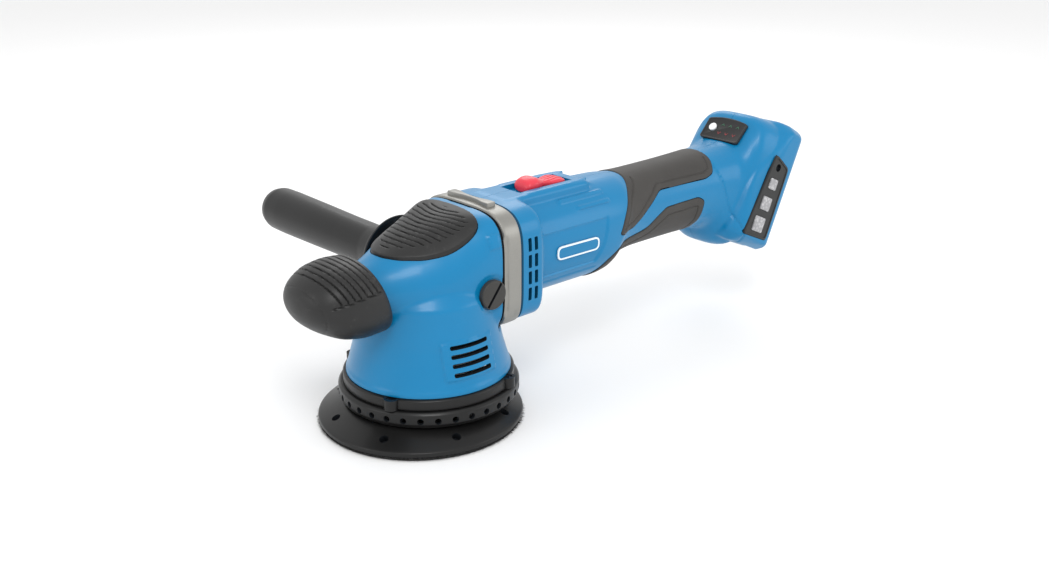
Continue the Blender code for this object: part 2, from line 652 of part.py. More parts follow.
BARREL_ROWS = [((x, 124.2), (x, 60.2), 31, 2.3) for x in (60.5, 122.0)]
HANDLE_ROWS = [
    ((148, 123.4), (129.5, 61.2), 30.4, 2.3),
    ((156, 122.6), (142, 68), 27, 2.2),
    ((172, 122.0), (166, 70.6), 25, 2.2),
    ((200, 122.2), (198, 70.4), 24.4, 2.2),
    ((236, 123.0), (230, 69.5), 25.4, 2.2),
]
BASE_ROWS = [
    ((256, 123.8), (239, 67), 26.8, 2.4),
    ((266, 125.8), (243, 59.5), 29.5, 2.9),
    ((279.4, 138.5), (249, 53), 33.5, 3.6),
    ((287, 144.3), (256, 50.5), 36.8, 4.4),
]
BADGE_OUTLINE = (
    (83, 86.1), (110.6, 85.7), (113.6, 87), (114.9, 90), (113.6, 93), (110.6, 94.3),
    (83, 94.9), (79.9, 93.6), (78.5, 90.5), (79.9, 87.4),
)
UPPER_GRIP_OUTLINE = (
    (163, 136), (158, 121.5), (148, 113), (140, 101), (135.5, 91), (138, 89.6), (152, 91.2), (160, 95.5),
    (170, 102.5), (181, 110), (228, 109.3), (236, 111.5), (241, 120), (242, 136),
)
LOWER_GRIP_OUTLINE = (
    (118, 55), (119, 64), (126, 73.5), (137, 81.5), (150, 84), (162, 85.2), (168.5, 87), (176, 92),
    (186, 97.3), (219, 98), (225, 94.5), (224, 80), (217, 66), (213, 55),
)


def flange_sections(front, back):
    """The squarish section that the ring and the motor housing's flange share."""
    top, bottom, half_width = RING_TOP / MM, RING_BOTTOM / MM, RING_HALF_WIDTH / MM
    return [((x / MM, top), (x / MM, bottom), half_width, (4.3, 5.5)) for x in (front, back)]


def base_point(depth, height):
    """X and Z in millimetres, that far forward of the battery face and up along it."""
    forward, rise = math.cos(BASE_TILT), math.sin(BASE_TILT)
    x = BASE_CENTRE[0] / MM - depth * forward + height * rise
    z = BASE_CENTRE[1] / MM + depth * rise + height * forward
    return (x, z)


def base_section(depth, half_width=BASE_HALF_WIDTH / MM, squareness=5.5, extra=0.0):
    half = BASE_HALF_HEIGHT / MM + extra
    return (base_point(depth, half), base_point(depth, -half), half_width, squareness)


def body_rows():
    """Every section of the barrel, the handle and the battery base, front to back."""
    return [*BARREL_ROWS, *HANDLE_ROWS, *BASE_ROWS, base_section(22, 38, 5, 1.5), base_section(0)]


def base_box(name, depths, heights, widths, colour=None):
    """A box square to the battery face: depth forward of it, height up along it, and Y."""
    obj = box(name, (-depths[1], widths[0], heights[0]), (-depths[0], widths[1], heights[1]), colour)
    turn = Matrix.Rotation(BASE_TILT, 4, "Y")
    centre = Matrix.Translation((BASE_CENTRE[0], 0, BASE_CENTRE[1]))
    obj.data.transform(centre @ turn)
    return obj


def housing_solid(name, colour):
    """The whole motor housing before it is hollowed and split: barrel, handle and base."""
    shell = loft(name, body_rows(), colour)
    combine(shell, loft(f"{name}_flange", flange_sections(RING_BACK, 61 * MM)), "UNION")
    low, high = (50 * MM, -17 * MM, 110 * MM), (121 * MM, 17 * MM, 127.4 * MM)
    saddle = box(f"{name}_saddle", low, high, bevel=2 * MM)
    combine(shell, saddle, "UNION")
    return shell


def grip_shell(name, outline, colour, bottom, top):
    """The layer between two growths of the body, inside an outline seen from the side."""
    layer = loft(name, body_rows(), colour, grow=top)
    cut(layer, loft(f"{name}_core", body_rows(), grow=bottom))
    return combine(layer, prism(f"{name}_outline", outline, -60 * MM, 60 * MM, "Y"), "INTERSECT")


def make_motor_housing():
    """Two clamshell halves that meet at the middle plane."""
    rows = body_rows()
    top, bottom, half, squareness = BARREL_ROWS[0]
    barrel = [((x, top[1]), (x, bottom[1]), half, squareness) for x in (50.0, 122.0)]
    hollow_rows = [*barrel, *HANDLE_ROWS, *BASE_ROWS[:3], base_section(18, 38, 4.4)]
    pockets = [
        loft("flange_hollow", flange_sections(30 * MM, 58 * MM), grow=-HOUSING_WALL),
        loft("body_hollow", hollow_rows, grow=-HOUSING_WALL - GRIP_DEPTH),
    ]
    for label, outline in (("upper", UPPER_GRIP_OUTLINE), ("lower", LOWER_GRIP_OUTLINE)):
        wide = scaled(outline, -GAP)
        pocket = prism(f"{label}_grip_pocket", wide, -60 * MM, 60 * MM, "Y")
        combine(pocket, loft(f"{label}_grip_bed", rows, grow=-GRIP_DEPTH))
        pockets.append(pocket)
    pocket = prism("badge_pocket", scaled(BADGE_OUTLINE, -GAP), -60 * MM, 0, "Y")
    combine(pocket, loft("badge_bed", rows, grow=-BADGE_DEPTH))
    pockets.append(pocket)
    switch_room = box(
        "switch_pocket",
        (SWITCH_FRONT - SWITCH_TRAVEL - 2 * MM, -SWITCH_HALF_WIDTH - 1 * MM, 124.4 * MM),
        (SWITCH_BACK + 1.5 * MM, SWITCH_HALF_WIDTH + 1 * MM, 140 * MM),
    )
    stem_way = box("stem_slot", (77 * MM, -3.6 * MM, 110 * MM), (98 * MM, 3.6 * MM, 130 * MM))
    battery = base_box("battery_recess", (-20 * MM, 13 * MM), (-60 * MM, 36 * MM), (-29 * MM, 29 * MM))
    pockets += [switch_room, stem_way, battery]
    for i in range(2):
        for j in range(4):
            x, z = (47.5 + 5 * i) * MM, (70 + 10.4 * j) * MM
            for sign, side in ((-1, "left"), (1, "right")):
                low = (x, min(sign * 25, sign * 50) * MM, z)
                high = (x + 2.6 * MM, max(sign * 25, sign * 50) * MM, z + 8.2 * MM)
                pockets.append(box(f"flange_vent_{side}_{i}_{j}", low, high))
    pockets += panel_pockets()
    skirt = bell("skirt_clearance", -2 * GAP, 60 * MM, 20 * MM)
    bosses = []
    for i, (x, z, reach) in enumerate(CLAMP_SCREWS):
        at, out = (x * MM, 0, z * MM), reach * MM
        bosses.append(cylinder(f"clamp_boss_{i}", 4.2 * MM, -out, out, at=at, axis=(0, 1, 0), sides=20))
    for name, sign in (("motor_housing_left", -1), ("motor_housing_right", 1)):
        half = housing_solid(name, "blue")
        cut(half, *pockets, skirt)
        for boss in bosses:
            combine(half, boss, "UNION")
        cut(half, *clamp_ways())
        low, high = sorted((-sign * 80 * MM, sign * GAP / 2))
        cut(half, box(f"{name}_split", (30 * MM, low, 20 * MM), (380 * MM, high, 180 * MM)))
        shade(half)
    for label, outline in (("upper_grip", UPPER_GRIP_OUTLINE), ("lower_grip", LOWER_GRIP_OUTLINE)):
        layer = grip_shell(label, scaled(outline), "rubber", GAP - GRIP_DEPTH, 0.3 * MM)
        shade(layer)
    badge = grip_shell("badge", scaled(BADGE_OUTLINE), "white", GAP - BADGE_DEPTH, 0.2 * MM)
    cut(badge, box("badge_far_side", (50 * MM, 0, 40 * MM), (130 * MM, 60 * MM, 120 * MM)))


# X and Z in millimetres of the screws through both halves, and how far out their bosses reach
CLAMP_SCREWS = ((63.0, 70, 23), (134, 84.6, 26), (207, 104.3, 20.5), (256, 98, 26.5))
CLAMP_HEAD_RADIUS = 2.6 * MM

# Control panel on the slope in front of the battery base
PANEL_LOW = Vector((267.0 * MM, 0, 126.2 * MM))
PANEL_HIGH = Vector((280.2 * MM, 0, 139.8 * MM))
PANEL_HALF_WIDTH = 18 * MM
PANEL_DEPTH = 1.6 * MM
BUTTON_RADIUS = 3 * MM
BUTTON_TRAVEL = 0.8 * MM
BUTTON_SIDE = 10 * MM
WINDOW_OUTLINE = ((288, 119), (302.5, 105.5), (280.5, 56), (254.5, 67.5))
WINDOW_FACE = 38 * MM
LENS_PLACES = ((285.2, 97.5, 4.0), (278.3, 84.4, 5.0), (271.2, 70.5, 5.6))


def panel_matrix():
    """Carries X across the tool, Y up the slope and Z out of the panel's face."""
    up = (PANEL_HIGH - PANEL_LOW).normalized()
    across = Vector((0, -1, 0))
    out = across.cross(up)
    centre = (PANEL_HIGH + PANEL_LOW) / 2
    turn = Matrix((across, up, out)).transposed().to_4x4()
    return Matrix.Translation(centre) @ turn


def panel_box(name, half_width, half_height, low, high, colour=None):
    obj = box(name, (-half_width, -half_height, low), (half_width, half_height, high), colour)
    obj.data.transform(panel_matrix())
    return obj


def panel_pockets():
    """Cutters for the control panel, its button and the side windows."""
    half_height = (PANEL_HIGH - PANEL_LOW).length / 2
    wide, tall = PANEL_HALF_WIDTH + GAP, half_height + GAP
    found = [panel_box("panel_pocket", wide, tall, -PANEL_DEPTH - GAP, 30 * MM)]
    centre = panel_matrix() @ Vector((-BUTTON_SIDE, 0, 0))
    out = panel_matrix().to_3x3() @ Vector((0, 0, 1))
    found.append(cylinder("button_way", BUTTON_RADIUS, -12 * MM, 10 * MM, at=centre, axis=out, sides=20))
    for side, sign in (("left", -1), ("right", 1)):
        low, high = sorted((sign * (WINDOW_FACE - 1.9 * MM), sign * 60 * MM))
        found.append(prism(f"window_pocket_{side}", scaled(WINDOW_OUTLINE, -GAP), low, high, "Y"))
    return found


def make_panels():
    """The control panel with its button, and a window frame with three lenses on each side."""
    half_height = (PANEL_HIGH - PANEL_LOW).length / 2
    panel = panel_box("control_panel", PANEL_HALF_WIDTH, half_height, -PANEL_DEPTH, 0.5 * MM, "black")
    centre = panel_matrix() @ Vector((-BUTTON_SIDE, 0, 0))
    out = panel_matrix().to_3x3() @ Vector((0, 0, 1))
    cut(panel, cylinder("button_hole", BUTTON_RADIUS + GAP, -12 * MM, 10 * MM, at=centre, axis=out, sides=20))
    low = -PANEL_DEPTH + BUTTON_TRAVEL + 0.2 * MM
    cylinder("speed_button", BUTTON_RADIUS, low, 1.5 * MM, "white", at=centre, axis=out, sides=20)
    for side, sign in (("left", -1), ("right", 1)):
        low, high = sorted((sign * (WINDOW_FACE - 1.6 * MM), sign * (WINDOW_FACE + 0.3 * MM)))
        frame = prism(f"window_frame_{side}", scaled(WINDOW_OUTLINE), low, high, "Y", "black")
        for i, (x, z, half) in enumerate(LENS_PLACES):
            outline = lens_outline(x, z, half)
            hole = prism(f"lens_hole_{side}_{i}", scaled(outline, -GAP), -60 * MM, 60 * MM, "Y")
            cut(frame, hole)
            prism(f"lens_{side}_{i + 1}", scaled(outline), low, high, "Y", "lens")


def lens_outline(x, z, half):
    """A rectangle square to the battery base, round a point in millimetres."""
    wide, tall = half * 1.1, half
    forward, rise = math.cos(BASE_TILT), math.sin(BASE_TILT)
    corners = ((wide, tall), (-wide, tall), (-wide, -tall), (wide, -tall))
    return [(x + a * forward + b * rise, z - a * rise + b * forward) for a, b in corners]


# ----------------------------------------------------------------------- motor


def make_motor():
    """Rotor, stator, fan, bearings and the bracket that holds the rear bearing."""
    axis, at = (1, 0, 0), (0, 0, MOTOR_HEIGHT)
    pinion_back = GEAR_RADIUS + 1 * MM
    profile = [
        (0, SHAFT_BACK),
        (SHAFT_RADIUS, SHAFT_BACK),
        (SHAFT_RADIUS, pinion_back + GAP),
        (SHAFT_RADIUS * 0.8 - GAP, pinion_back + GAP),
        (SHAFT_RADIUS * 0.8 - GAP, SHAFT_FRONT),
        (0, SHAFT_FRONT),
    ]
    turned("rotor_shaft", profile, "steel", at, axis, steps=24)
    front, back = pinion_back + 0.6 * MM, RING_FRONT - 0.8 * MM
    ring("front_motor_bearing", SHAFT_RADIUS + RUN, FRONT_BEARING_RADIUS, front, back, "steel", at, axis, 24)
    fan = prism("cooling_fan", gear_outline(11, 9 * MM, FAN_RADIUS, 0.16), 48 * MM, 57 * MM, "X", "black")
    fan.data.transform(Matrix.Translation(at))
    disc = cylinder("fan_disc", FAN_RADIUS - 1 * MM, 55.6 * MM, 57.6 * MM, at=at, axis=axis)
    combine(fan, disc, "UNION")
    cut(fan, cylinder("fan_bore", SHAFT_RADIUS + GAP, 40 * MM, 60 * MM, at=at, axis=axis, sides=24))
    ring("rotor_core", SHAFT_RADIUS + GAP, ROTOR_RADIUS, STATOR_FRONT, STATOR_BACK, "steel", at, axis, 24)
    stator = cylinder("stator", STATOR_RADIUS, STATOR_FRONT, STATOR_BACK, "copper", at=at, axis=axis)
    slots = prism("stator_slots", gear_outline(6, STATOR_BORE, 20.6 * MM, 0.3), 50 * MM, 130 * MM, "X")
    slots.data.transform(Matrix.Translation(at))
    cut(stator, slots)
    ring("rear_motor_bearing", SHAFT_RADIUS + RUN, 9 * MM, 119 * MM, 125 * MM, "steel", at, axis, 24)
    bracket = cylinder("rear_bearing_bracket", 23.8 * MM, 117 * MM, 129 * MM, "black", at=at, axis=axis)
    cut(bracket, cylinder("bracket_bore", 9 * MM + GAP, 118.6 * MM, 140 * MM, at=at, axis=axis))
    eye = cylinder("bracket_eye", SHAFT_RADIUS + 1 * MM, 100 * MM, 140 * MM, at=at, axis=axis, sides=24)
    cut(bracket, eye)


def make_electrics():
    """Micro switch, controller and the battery terminals."""
    box("micro_switch", (131 * MM, -7 * MM, 103 * MM), (149 * MM, 7 * MM, 116 * MM), "black")
    low, high = (166 * MM, -12 * MM, 80.5 * MM), (226 * MM, 12 * MM, 91.5 * MM)
    box("controller", low, high, "grey_metal", bevel=1 * MM)
    depths, heights = (1.5 * MM, 12.6 * MM), (6 * MM, 34 * MM)
    base_box("terminal_block", depths, heights, (-16 * MM, 16 * MM), "black")
    for i, y in enumerate((-9 * MM, 9 * MM)):
        heights, widths = (-16 * MM, 5.6 * MM), (y - 0.5 * MM, y + 0.5 * MM)
        base_box(f"terminal_blade_{i + 1}", (3 * MM, 11 * MM), heights, widths, "copper")
    for side, sign in (("left", -1), ("right", 1)):
        low, high = sorted((sign * 25 * MM, sign * 28.6 * MM))
        base_box(f"battery_rail_{side}", (0.3 * MM, 4.3 * MM), (-38 * MM, 30 * MM), (low, high), "steel")


# Share of the button's length, height of its top and how far its side draws in, in millimetres
SWITCH_ROWS = (
    (0, 128.6, 2.5), (0.06, 131.2, 1), (0.22, 133.2, 0), (0.36, 132.2, 0),
    (0.5, 129.4, 0), (0.68, 129.6, 0), (0.88, 129.4, 0.4), (1, 128.4, 2.5),
)


def make_switch():
    """The red slide button, which is rocker shaped, and the link behind it."""
    length = SWITCH_BACK - SWITCH_FRONT
    rows = []
    half_width = SWITCH_HALF_WIDTH / MM
    for share, top, narrowing in SWITCH_ROWS:
        half = half_width - narrowing
        x = (SWITCH_FRONT + share * length) / MM
        rows.append(((x, top), (x, 118), half, 3.2))
    button = loft("slide_switch", rows, "red", count=24)
    trim = box("switch_trim", (60 * MM, -20 * MM, 100 * MM), (130 * MM, 20 * MM, 124.8 * MM))
    cut(button, trim)
    stem = box("switch_stem", (83.6 * MM, -3.2 * MM, 118.7 * MM), (97.4 * MM, 3.2 * MM, 126 * MM))
    combine(button, stem, "UNION")
    box("switch_link", (86 * MM, -3 * MM, 116.4 * MM), (147 * MM, 3 * MM, 118.4 * MM), "black")


# ----------------------------------------------------------------- auxiliary handle


def make_side_handle():
    """The auxiliary handle with its collar and stud, and the plug in the other side."""
    at = (HANDLE_X, 0, HANDLE_Z)
    side = (0, 1, 0)
    end = HANDLE_END
    start = HANDLE_START
    profile = [
        (0, end),
        (HANDLE_RADIUS * 0.55, end - 0.6 * MM),
        (HANDLE_RADIUS * 0.86, end - 3.4 * MM),
        (HANDLE_RADIUS, end - 9 * MM),
        (HANDLE_RADIUS, end - 30 * MM),
        (HANDLE_RADIUS - 1.2 * MM, start + 60 * MM),
        (HANDLE_RADIUS - 1 * MM, start + 25 * MM),
        (HANDLE_RADIUS + 1 * MM, start + 13 * MM),
        (COLLAR_RADIUS - 1 * MM, start + 9 * MM),
        (COLLAR_RADIUS, start + 7 * MM),
        (COLLAR_RADIUS - 1 * MM, start + 5.4 * MM),
        (16 * MM, start + 4 * MM),
        (14 * MM, start),
        (0, start),
    ]
    grip = turned("side_handle", profile, "rubber", at, side, steps=32)
    cut(grip, cylinder("stud_socket", THREAD_RADIUS + GAP, 0, start + 40 * MM, at=at, axis=side, sides=24))
    cylinder("handle_stud", THREAD_RADIUS, SIDE_SEAT - 8.4 * MM, start + 39 * MM, "steel", at=at, axis=side, sides=24)
    face, seat, tip = SIDE_SEAT + 4.2 * MM, SIDE_SEAT + 0.4 * MM, SIDE_SEAT - 8.4 * MM
    profile = [
        (0, face),
        (PLUG_RADIUS - 1 * MM, face),
        (PLUG_RADIUS, face - 1 * MM),
        (PLUG_RADIUS, seat),
        (THREAD_RADIUS, seat),
        (THREAD_RADIUS, tip),
        (0, tip),
    ]
    plug = turned("blanking_plug", profile, "black", at, (0, -1, 0), steps=24)
    slot = box("plug_slot", (-0.9 * MM, -50 * MM, -8 * MM), (0.9 * MM, 1.4 * MM - face, 8 * MM))
    turn = Matrix.Rotation(math.radians(38), 4, "Y")
    slot.data.transform(Matrix.Translation((HANDLE_X, 0, HANDLE_Z)) @ turn)
    cut(plug, slot)


def make_housing_screws():
    """The screws that close the clamshell, sunk in its right half."""
    for i, place_at in enumerate(CLAMP_SCREWS):
        profile = [
            (0, 17 * MM),
            (CLAMP_HEAD_RADIUS * 0.8, 17 * MM),
            (CLAMP_HEAD_RADIUS, 16.4 * MM),
            (CLAMP_HEAD_RADIUS, 14 * MM + GAP),
            (SCREW_RADIUS, 14 * MM + GAP),
            (SCREW_RADIUS, -8 * MM),
            (0, -8 * MM),
        ]
        at = (place_at[0] * MM, 0, place_at[1] * MM)
        turned(f"housing_screw_{i + 1}", profile, "steel", at, (0, 1, 0), steps=16)


def clamp_ways():
    """Cutters for the clamping screws: each one's shank and its sunk head."""
    found = []
    for i, (x, z, reach) in enumerate(CLAMP_SCREWS):
        at, side = (x * MM, 0, z * MM), (0, 1, 0)
        radius, head = SCREW_RADIUS + GAP, CLAMP_HEAD_RADIUS + GAP
        found.append(cylinder(f"clamp_way_{i}", radius, -9 * MM, 60 * MM, at=at, axis=side, sides=16))
        found.append(cylinder(f"clamp_head_{i}", head, 14 * MM, 60 * MM, at=at, axis=side, sides=20))
    return found


for old in list(bpy.data.objects):
    bpy.data.objects.remove(old)
parts = bpy.data.collections.new("dual_action_polisher")
cutters = bpy.data.collections.new("cutters")
bpy.context.scene.collection.children.link(parts)
bpy.context.scene.collection.children.link(cutters)

make_backing_plate()
make_eccentric()
make_spindle()
make_gear_case()
make_shroud()
make_gear_housing()
make_rubber_grips()
make_ring()
make_motor_housing()
make_panels()
make_motor()
make_electrics()
make_switch()
make_side_handle()
make_housing_screws()
put_origin(orbit_point(), "hook_face", "plate_stud", "eccentric_bearing")
put_origin((0, 0, MOTOR_HEIGHT), "cooling_fan", "pinion", "bevel_gear")
put_origin((0, 0, WEIGHT_BOTTOM), "counterweight", "output_spindle")
put_origin((SWITCH_FRONT, 0, 118 * MM), "slide_switch", "switch_link")
put_origin(panel_matrix() @ Vector((-BUTTON_SIDE, 0, 0)), "speed_button")
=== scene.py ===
"""Looks of a cordless dual action polisher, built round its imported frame."""

import json
import math

import bmesh
import bpy
import numpy as np
from mathutils import Matrix, Vector


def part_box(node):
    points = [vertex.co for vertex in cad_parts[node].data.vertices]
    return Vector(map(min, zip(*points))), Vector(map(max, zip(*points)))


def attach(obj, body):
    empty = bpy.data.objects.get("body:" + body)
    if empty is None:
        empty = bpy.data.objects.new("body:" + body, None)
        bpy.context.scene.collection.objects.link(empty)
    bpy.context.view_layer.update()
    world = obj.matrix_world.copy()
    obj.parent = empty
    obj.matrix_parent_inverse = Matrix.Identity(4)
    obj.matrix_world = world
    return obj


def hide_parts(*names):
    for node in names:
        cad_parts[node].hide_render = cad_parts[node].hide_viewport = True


bl_info = {
    "name": "Dual Action Polisher",
    "version": (1, 0, 0),
    "blender": (4, 5, 0),
    "location": "View3D > Sidebar > Polisher",
    "description": "Builds the shells, grips, plate and controls of a cordless polisher",
    "category": "Object",
}

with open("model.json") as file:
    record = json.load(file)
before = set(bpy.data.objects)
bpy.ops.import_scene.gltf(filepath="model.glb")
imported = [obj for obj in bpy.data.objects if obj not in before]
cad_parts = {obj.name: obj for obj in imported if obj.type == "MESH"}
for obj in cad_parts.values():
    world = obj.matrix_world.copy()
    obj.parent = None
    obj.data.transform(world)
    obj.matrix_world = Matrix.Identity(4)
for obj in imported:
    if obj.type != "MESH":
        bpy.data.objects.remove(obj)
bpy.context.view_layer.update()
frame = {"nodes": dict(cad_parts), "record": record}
MM = 0.001

# Rows of a body's skin, in millimetres: top X and Z, bottom X and Z, half width,
# and the power of the rounded section above and below its middle (2 is an ellipse)
HEAD_ROWS = (
    (-52, 104, -52, 74, 17, 2.0, 2.0),
    (-43, 106, -43, 72, 19, 2.0, 2.0),
    (-33, 109.5, -33, 68, 23.5, 2.0, 2.1),
    (-21, 114.5, -21, 64, 30, 2.0, 2.4),
    (-7, 119.6, -7, 60, 35, 2.1, 2.9),
    (8, 123.8, 8, 57, 37.6, 2.6, 3.6),
    (20, 126, 20, 55.6, 38.4, 3.6, 4.6),
    (28.7, 126.6, 28.7, 55.2, 38.6, 4.3, 5.5),
    (36, 126.8, 36, 55.2, 38.7, 4.3, 5.5),
)
NOSE_ROWS = (
    (-50.8, 109.0, -38.6, 68.3, 24.4, 2.2, 2.2),
    (-51.5, 110.7, -39.5, 66.6, 26.6, 2.2, 2.2),
    (-55, 111.8, -44, 65.6, 28.3, 2.2, 2.2),
    (-62, 111.9, -54, 65.6, 28.7, 2.3, 2.3),
    (-72, 110.6, -66, 67.6, 27.8, 2.3, 2.3),
    (-80, 107.4, -76, 72.2, 25, 2.2, 2.2),
    (-86, 103, -84, 77.6, 20, 2.1, 2.1),
    (-89.4, 98, -88.8, 83, 12.5, 2.0, 2.0),
    (-90.6, 93, -90.6, 88, 3.5, 2.0, 2.0),
)
BARREL_ROWS = (
    (50, 124.2, 50, 60.2, 31, 2.3, 2.3),
    (122, 124.2, 122, 60.2, 31, 2.3, 2.3),
    (148, 123.4, 129.5, 61.2, 30.4, 2.3, 2.3),
    (156, 122.6, 142, 68, 27, 2.2, 2.2),
    (172, 122.0, 166, 70.6, 25, 2.2, 2.2),
    (200, 122.2, 198, 70.4, 24.4, 2.2, 2.2),
    (236, 123.0, 230, 69.5, 25.4, 2.2, 2.2),
)
FOOT_TILT = math.radians(25)
FOOT_CENTRE = (301, 88)
FOOT_HALF_HEIGHT = 46
FOOT_HALF_WIDTH = 38
FLANGE = (126.8, 55.2, 38.6, 4.3, 5.5)
BELL_PROFILE = ((41.5, 78), (42.2, 68), (43.6, 57), (45.6, 47), (48.1, 38), (49.7, 32), (50.2, 26))
PALM_OUTLINE = (
    (17.5, -30), (5, -30.4), (-8, -27.6), (-20, -21.8), (-29.5, -13.5), (-34.6, -6), (-35.6, 0),
    (-34.6, 6), (-29.5, 13.5), (-20, 21.8), (-8, 27.6), (5, 30.4), (17.5, 30), (20.4, 18), (21.4, 0),
    (20.4, -18),
)
UPPER_GRIP_OUTLINE = (
    (163, 136), (158, 121.5), (148, 113), (140, 101), (135.5, 91), (138, 89.6), (152, 91.2), (160, 95.5),
    (170, 102.5), (181, 110), (228, 109.3), (236, 111.5), (241, 120), (242, 136),
)
LOWER_GRIP_OUTLINE = (
    (118, 52), (119, 64), (126, 73.5), (137, 81.5), (150, 84), (162, 85.2), (168.5, 87), (176, 92),
    (186, 97.3), (219, 98), (225, 94.5), (224, 80), (217, 66), (213, 52),
)
BADGE_OUTLINE = ((78.5, 86.1), (114.9, 85.7), (114.9, 94.3), (78.5, 94.9))
WINDOW_OUTLINE = ((288, 119), (302.5, 105.5), (280.5, 56), (254.5, 67.5))
LENS_PLACES = ((285.2, 97.5, 4.2), (278.3, 84.4, 5.2), (271.2, 70.5, 5.8))
PANEL_LOW = Vector((0.2670, 0, 0.1262))
PANEL_HIGH = Vector((0.2802, 0, 0.1398))
CLAMP_SCREW_PLACES = ((63.0, 70), (134, 84.6), (207, 104.3), (256, 98))
BUTTON_PLACE = -10
GOLDEN_ANGLE = 2.399963
SIDE_SEAT = (18.3, 0, 81.9)
ORIGIN = (0, 0, 0)
ALONG = (1, 0, 0)
RIGHTWARD = (0, 1, 0)
LEFTWARD = (0, -1, 0)
UP = (0, 0, 1)


# ------------------------------------------------------------------ settings


class ShellSettings(bpy.types.PropertyGroup):
    """Sizes and colours of the moulded shells."""

    colour: bpy.props.FloatVectorProperty(
        name="Shell colour", description="Colour of the moulded shells", subtype="COLOR",
        size=3, min=0, max=1, default=(0.0005, 0.178, 0.385),
    )
    voxel: bpy.props.FloatProperty(
        name="Skin detail", description="Size of the shells' mesh before it is relaxed",
        unit="LENGTH", default=0.0011, min=0.0006, max=0.004,
    )
    badge_height: bpy.props.FloatProperty(
        name="Badge height", description="How far the blank badge stands off the barrel",
        unit="LENGTH", default=0.0004, min=0, max=0.002,
    )


class GripSettings(bpy.types.PropertyGroup):
    """Sizes and colours of the rubber parts."""

    colour: bpy.props.FloatVectorProperty(
        name="Grip colour", description="Colour of the handle's soft grips", subtype="COLOR",
        size=3, min=0, max=1, default=(0.046, 0.043, 0.040),
    )
    pad_colour: bpy.props.FloatVectorProperty(
        name="Pad colour", description="Colour of the nose, palm pad and side handle", subtype="COLOR",
        size=3, min=0, max=1, default=(0.017, 0.017, 0.017),
    )
    groove: bpy.props.FloatProperty(
        name="Groove depth", description="Depth of the ribs' grooves in the pads",
        unit="LENGTH", default=0.001, min=0, max=0.002,
    )
    proud: bpy.props.FloatProperty(
        name="Grip height", description="How far the grips stand off the shell",
        unit="LENGTH", default=0.0006, min=0, max=0.002,
    )


class DriveSettings(bpy.types.PropertyGroup):
    """The backing plate and the shroud."""

    plate_holes: bpy.props.IntProperty(
        name="Plate holes", description="Holes round the backing plate's cone",
        default=8, min=0, max=16,
    )
    shroud_holes: bpy.props.IntProperty(
        name="Shroud holes", description="Holes round the vented shroud", default=34, min=0, max=60,
    )
    fibres: bpy.props.IntProperty(
        name="Hook fibres", description="Fibres that show round the hook face's edge",
        default=900, min=0, max=4000,
    )


class StageSettings(bpy.types.PropertyGroup):
    """The floor, the lights and the camera."""

    floor_colour: bpy.props.FloatVectorProperty(
        name="Floor colour", description="Colour of the plain floor", subtype="COLOR",
        size=3, min=0, max=1, default=(0.9, 0.9, 0.9),
    )
    brightness: bpy.props.FloatProperty(
        name="Light", description="Strength of all the lights", default=1.0, min=0, max=5,
    )


# ------------------------------------------------------------- shader nodes


class Wire:
    """A socket in a material's tree. Python's operators on it add Math nodes."""

    def __init__(self, finish, socket):
        self.finish = finish
        self.socket = socket

    def maths(self, operation, *values):
        inputs = dict(enumerate(values))
        return self.finish.node("ShaderNodeMath", {"operation": operation}, inputs)

    def __add__(self, other):
        return self.maths("ADD", self, other)

    def __sub__(self, other):
        return self.maths("SUBTRACT", self, other)

    def __rsub__(self, other):
        return self.maths("SUBTRACT", other, self)

    def __mul__(self, other):
        return self.maths("MULTIPLY", self, other)

    __radd__ = __add__
    __rmul__ = __mul__


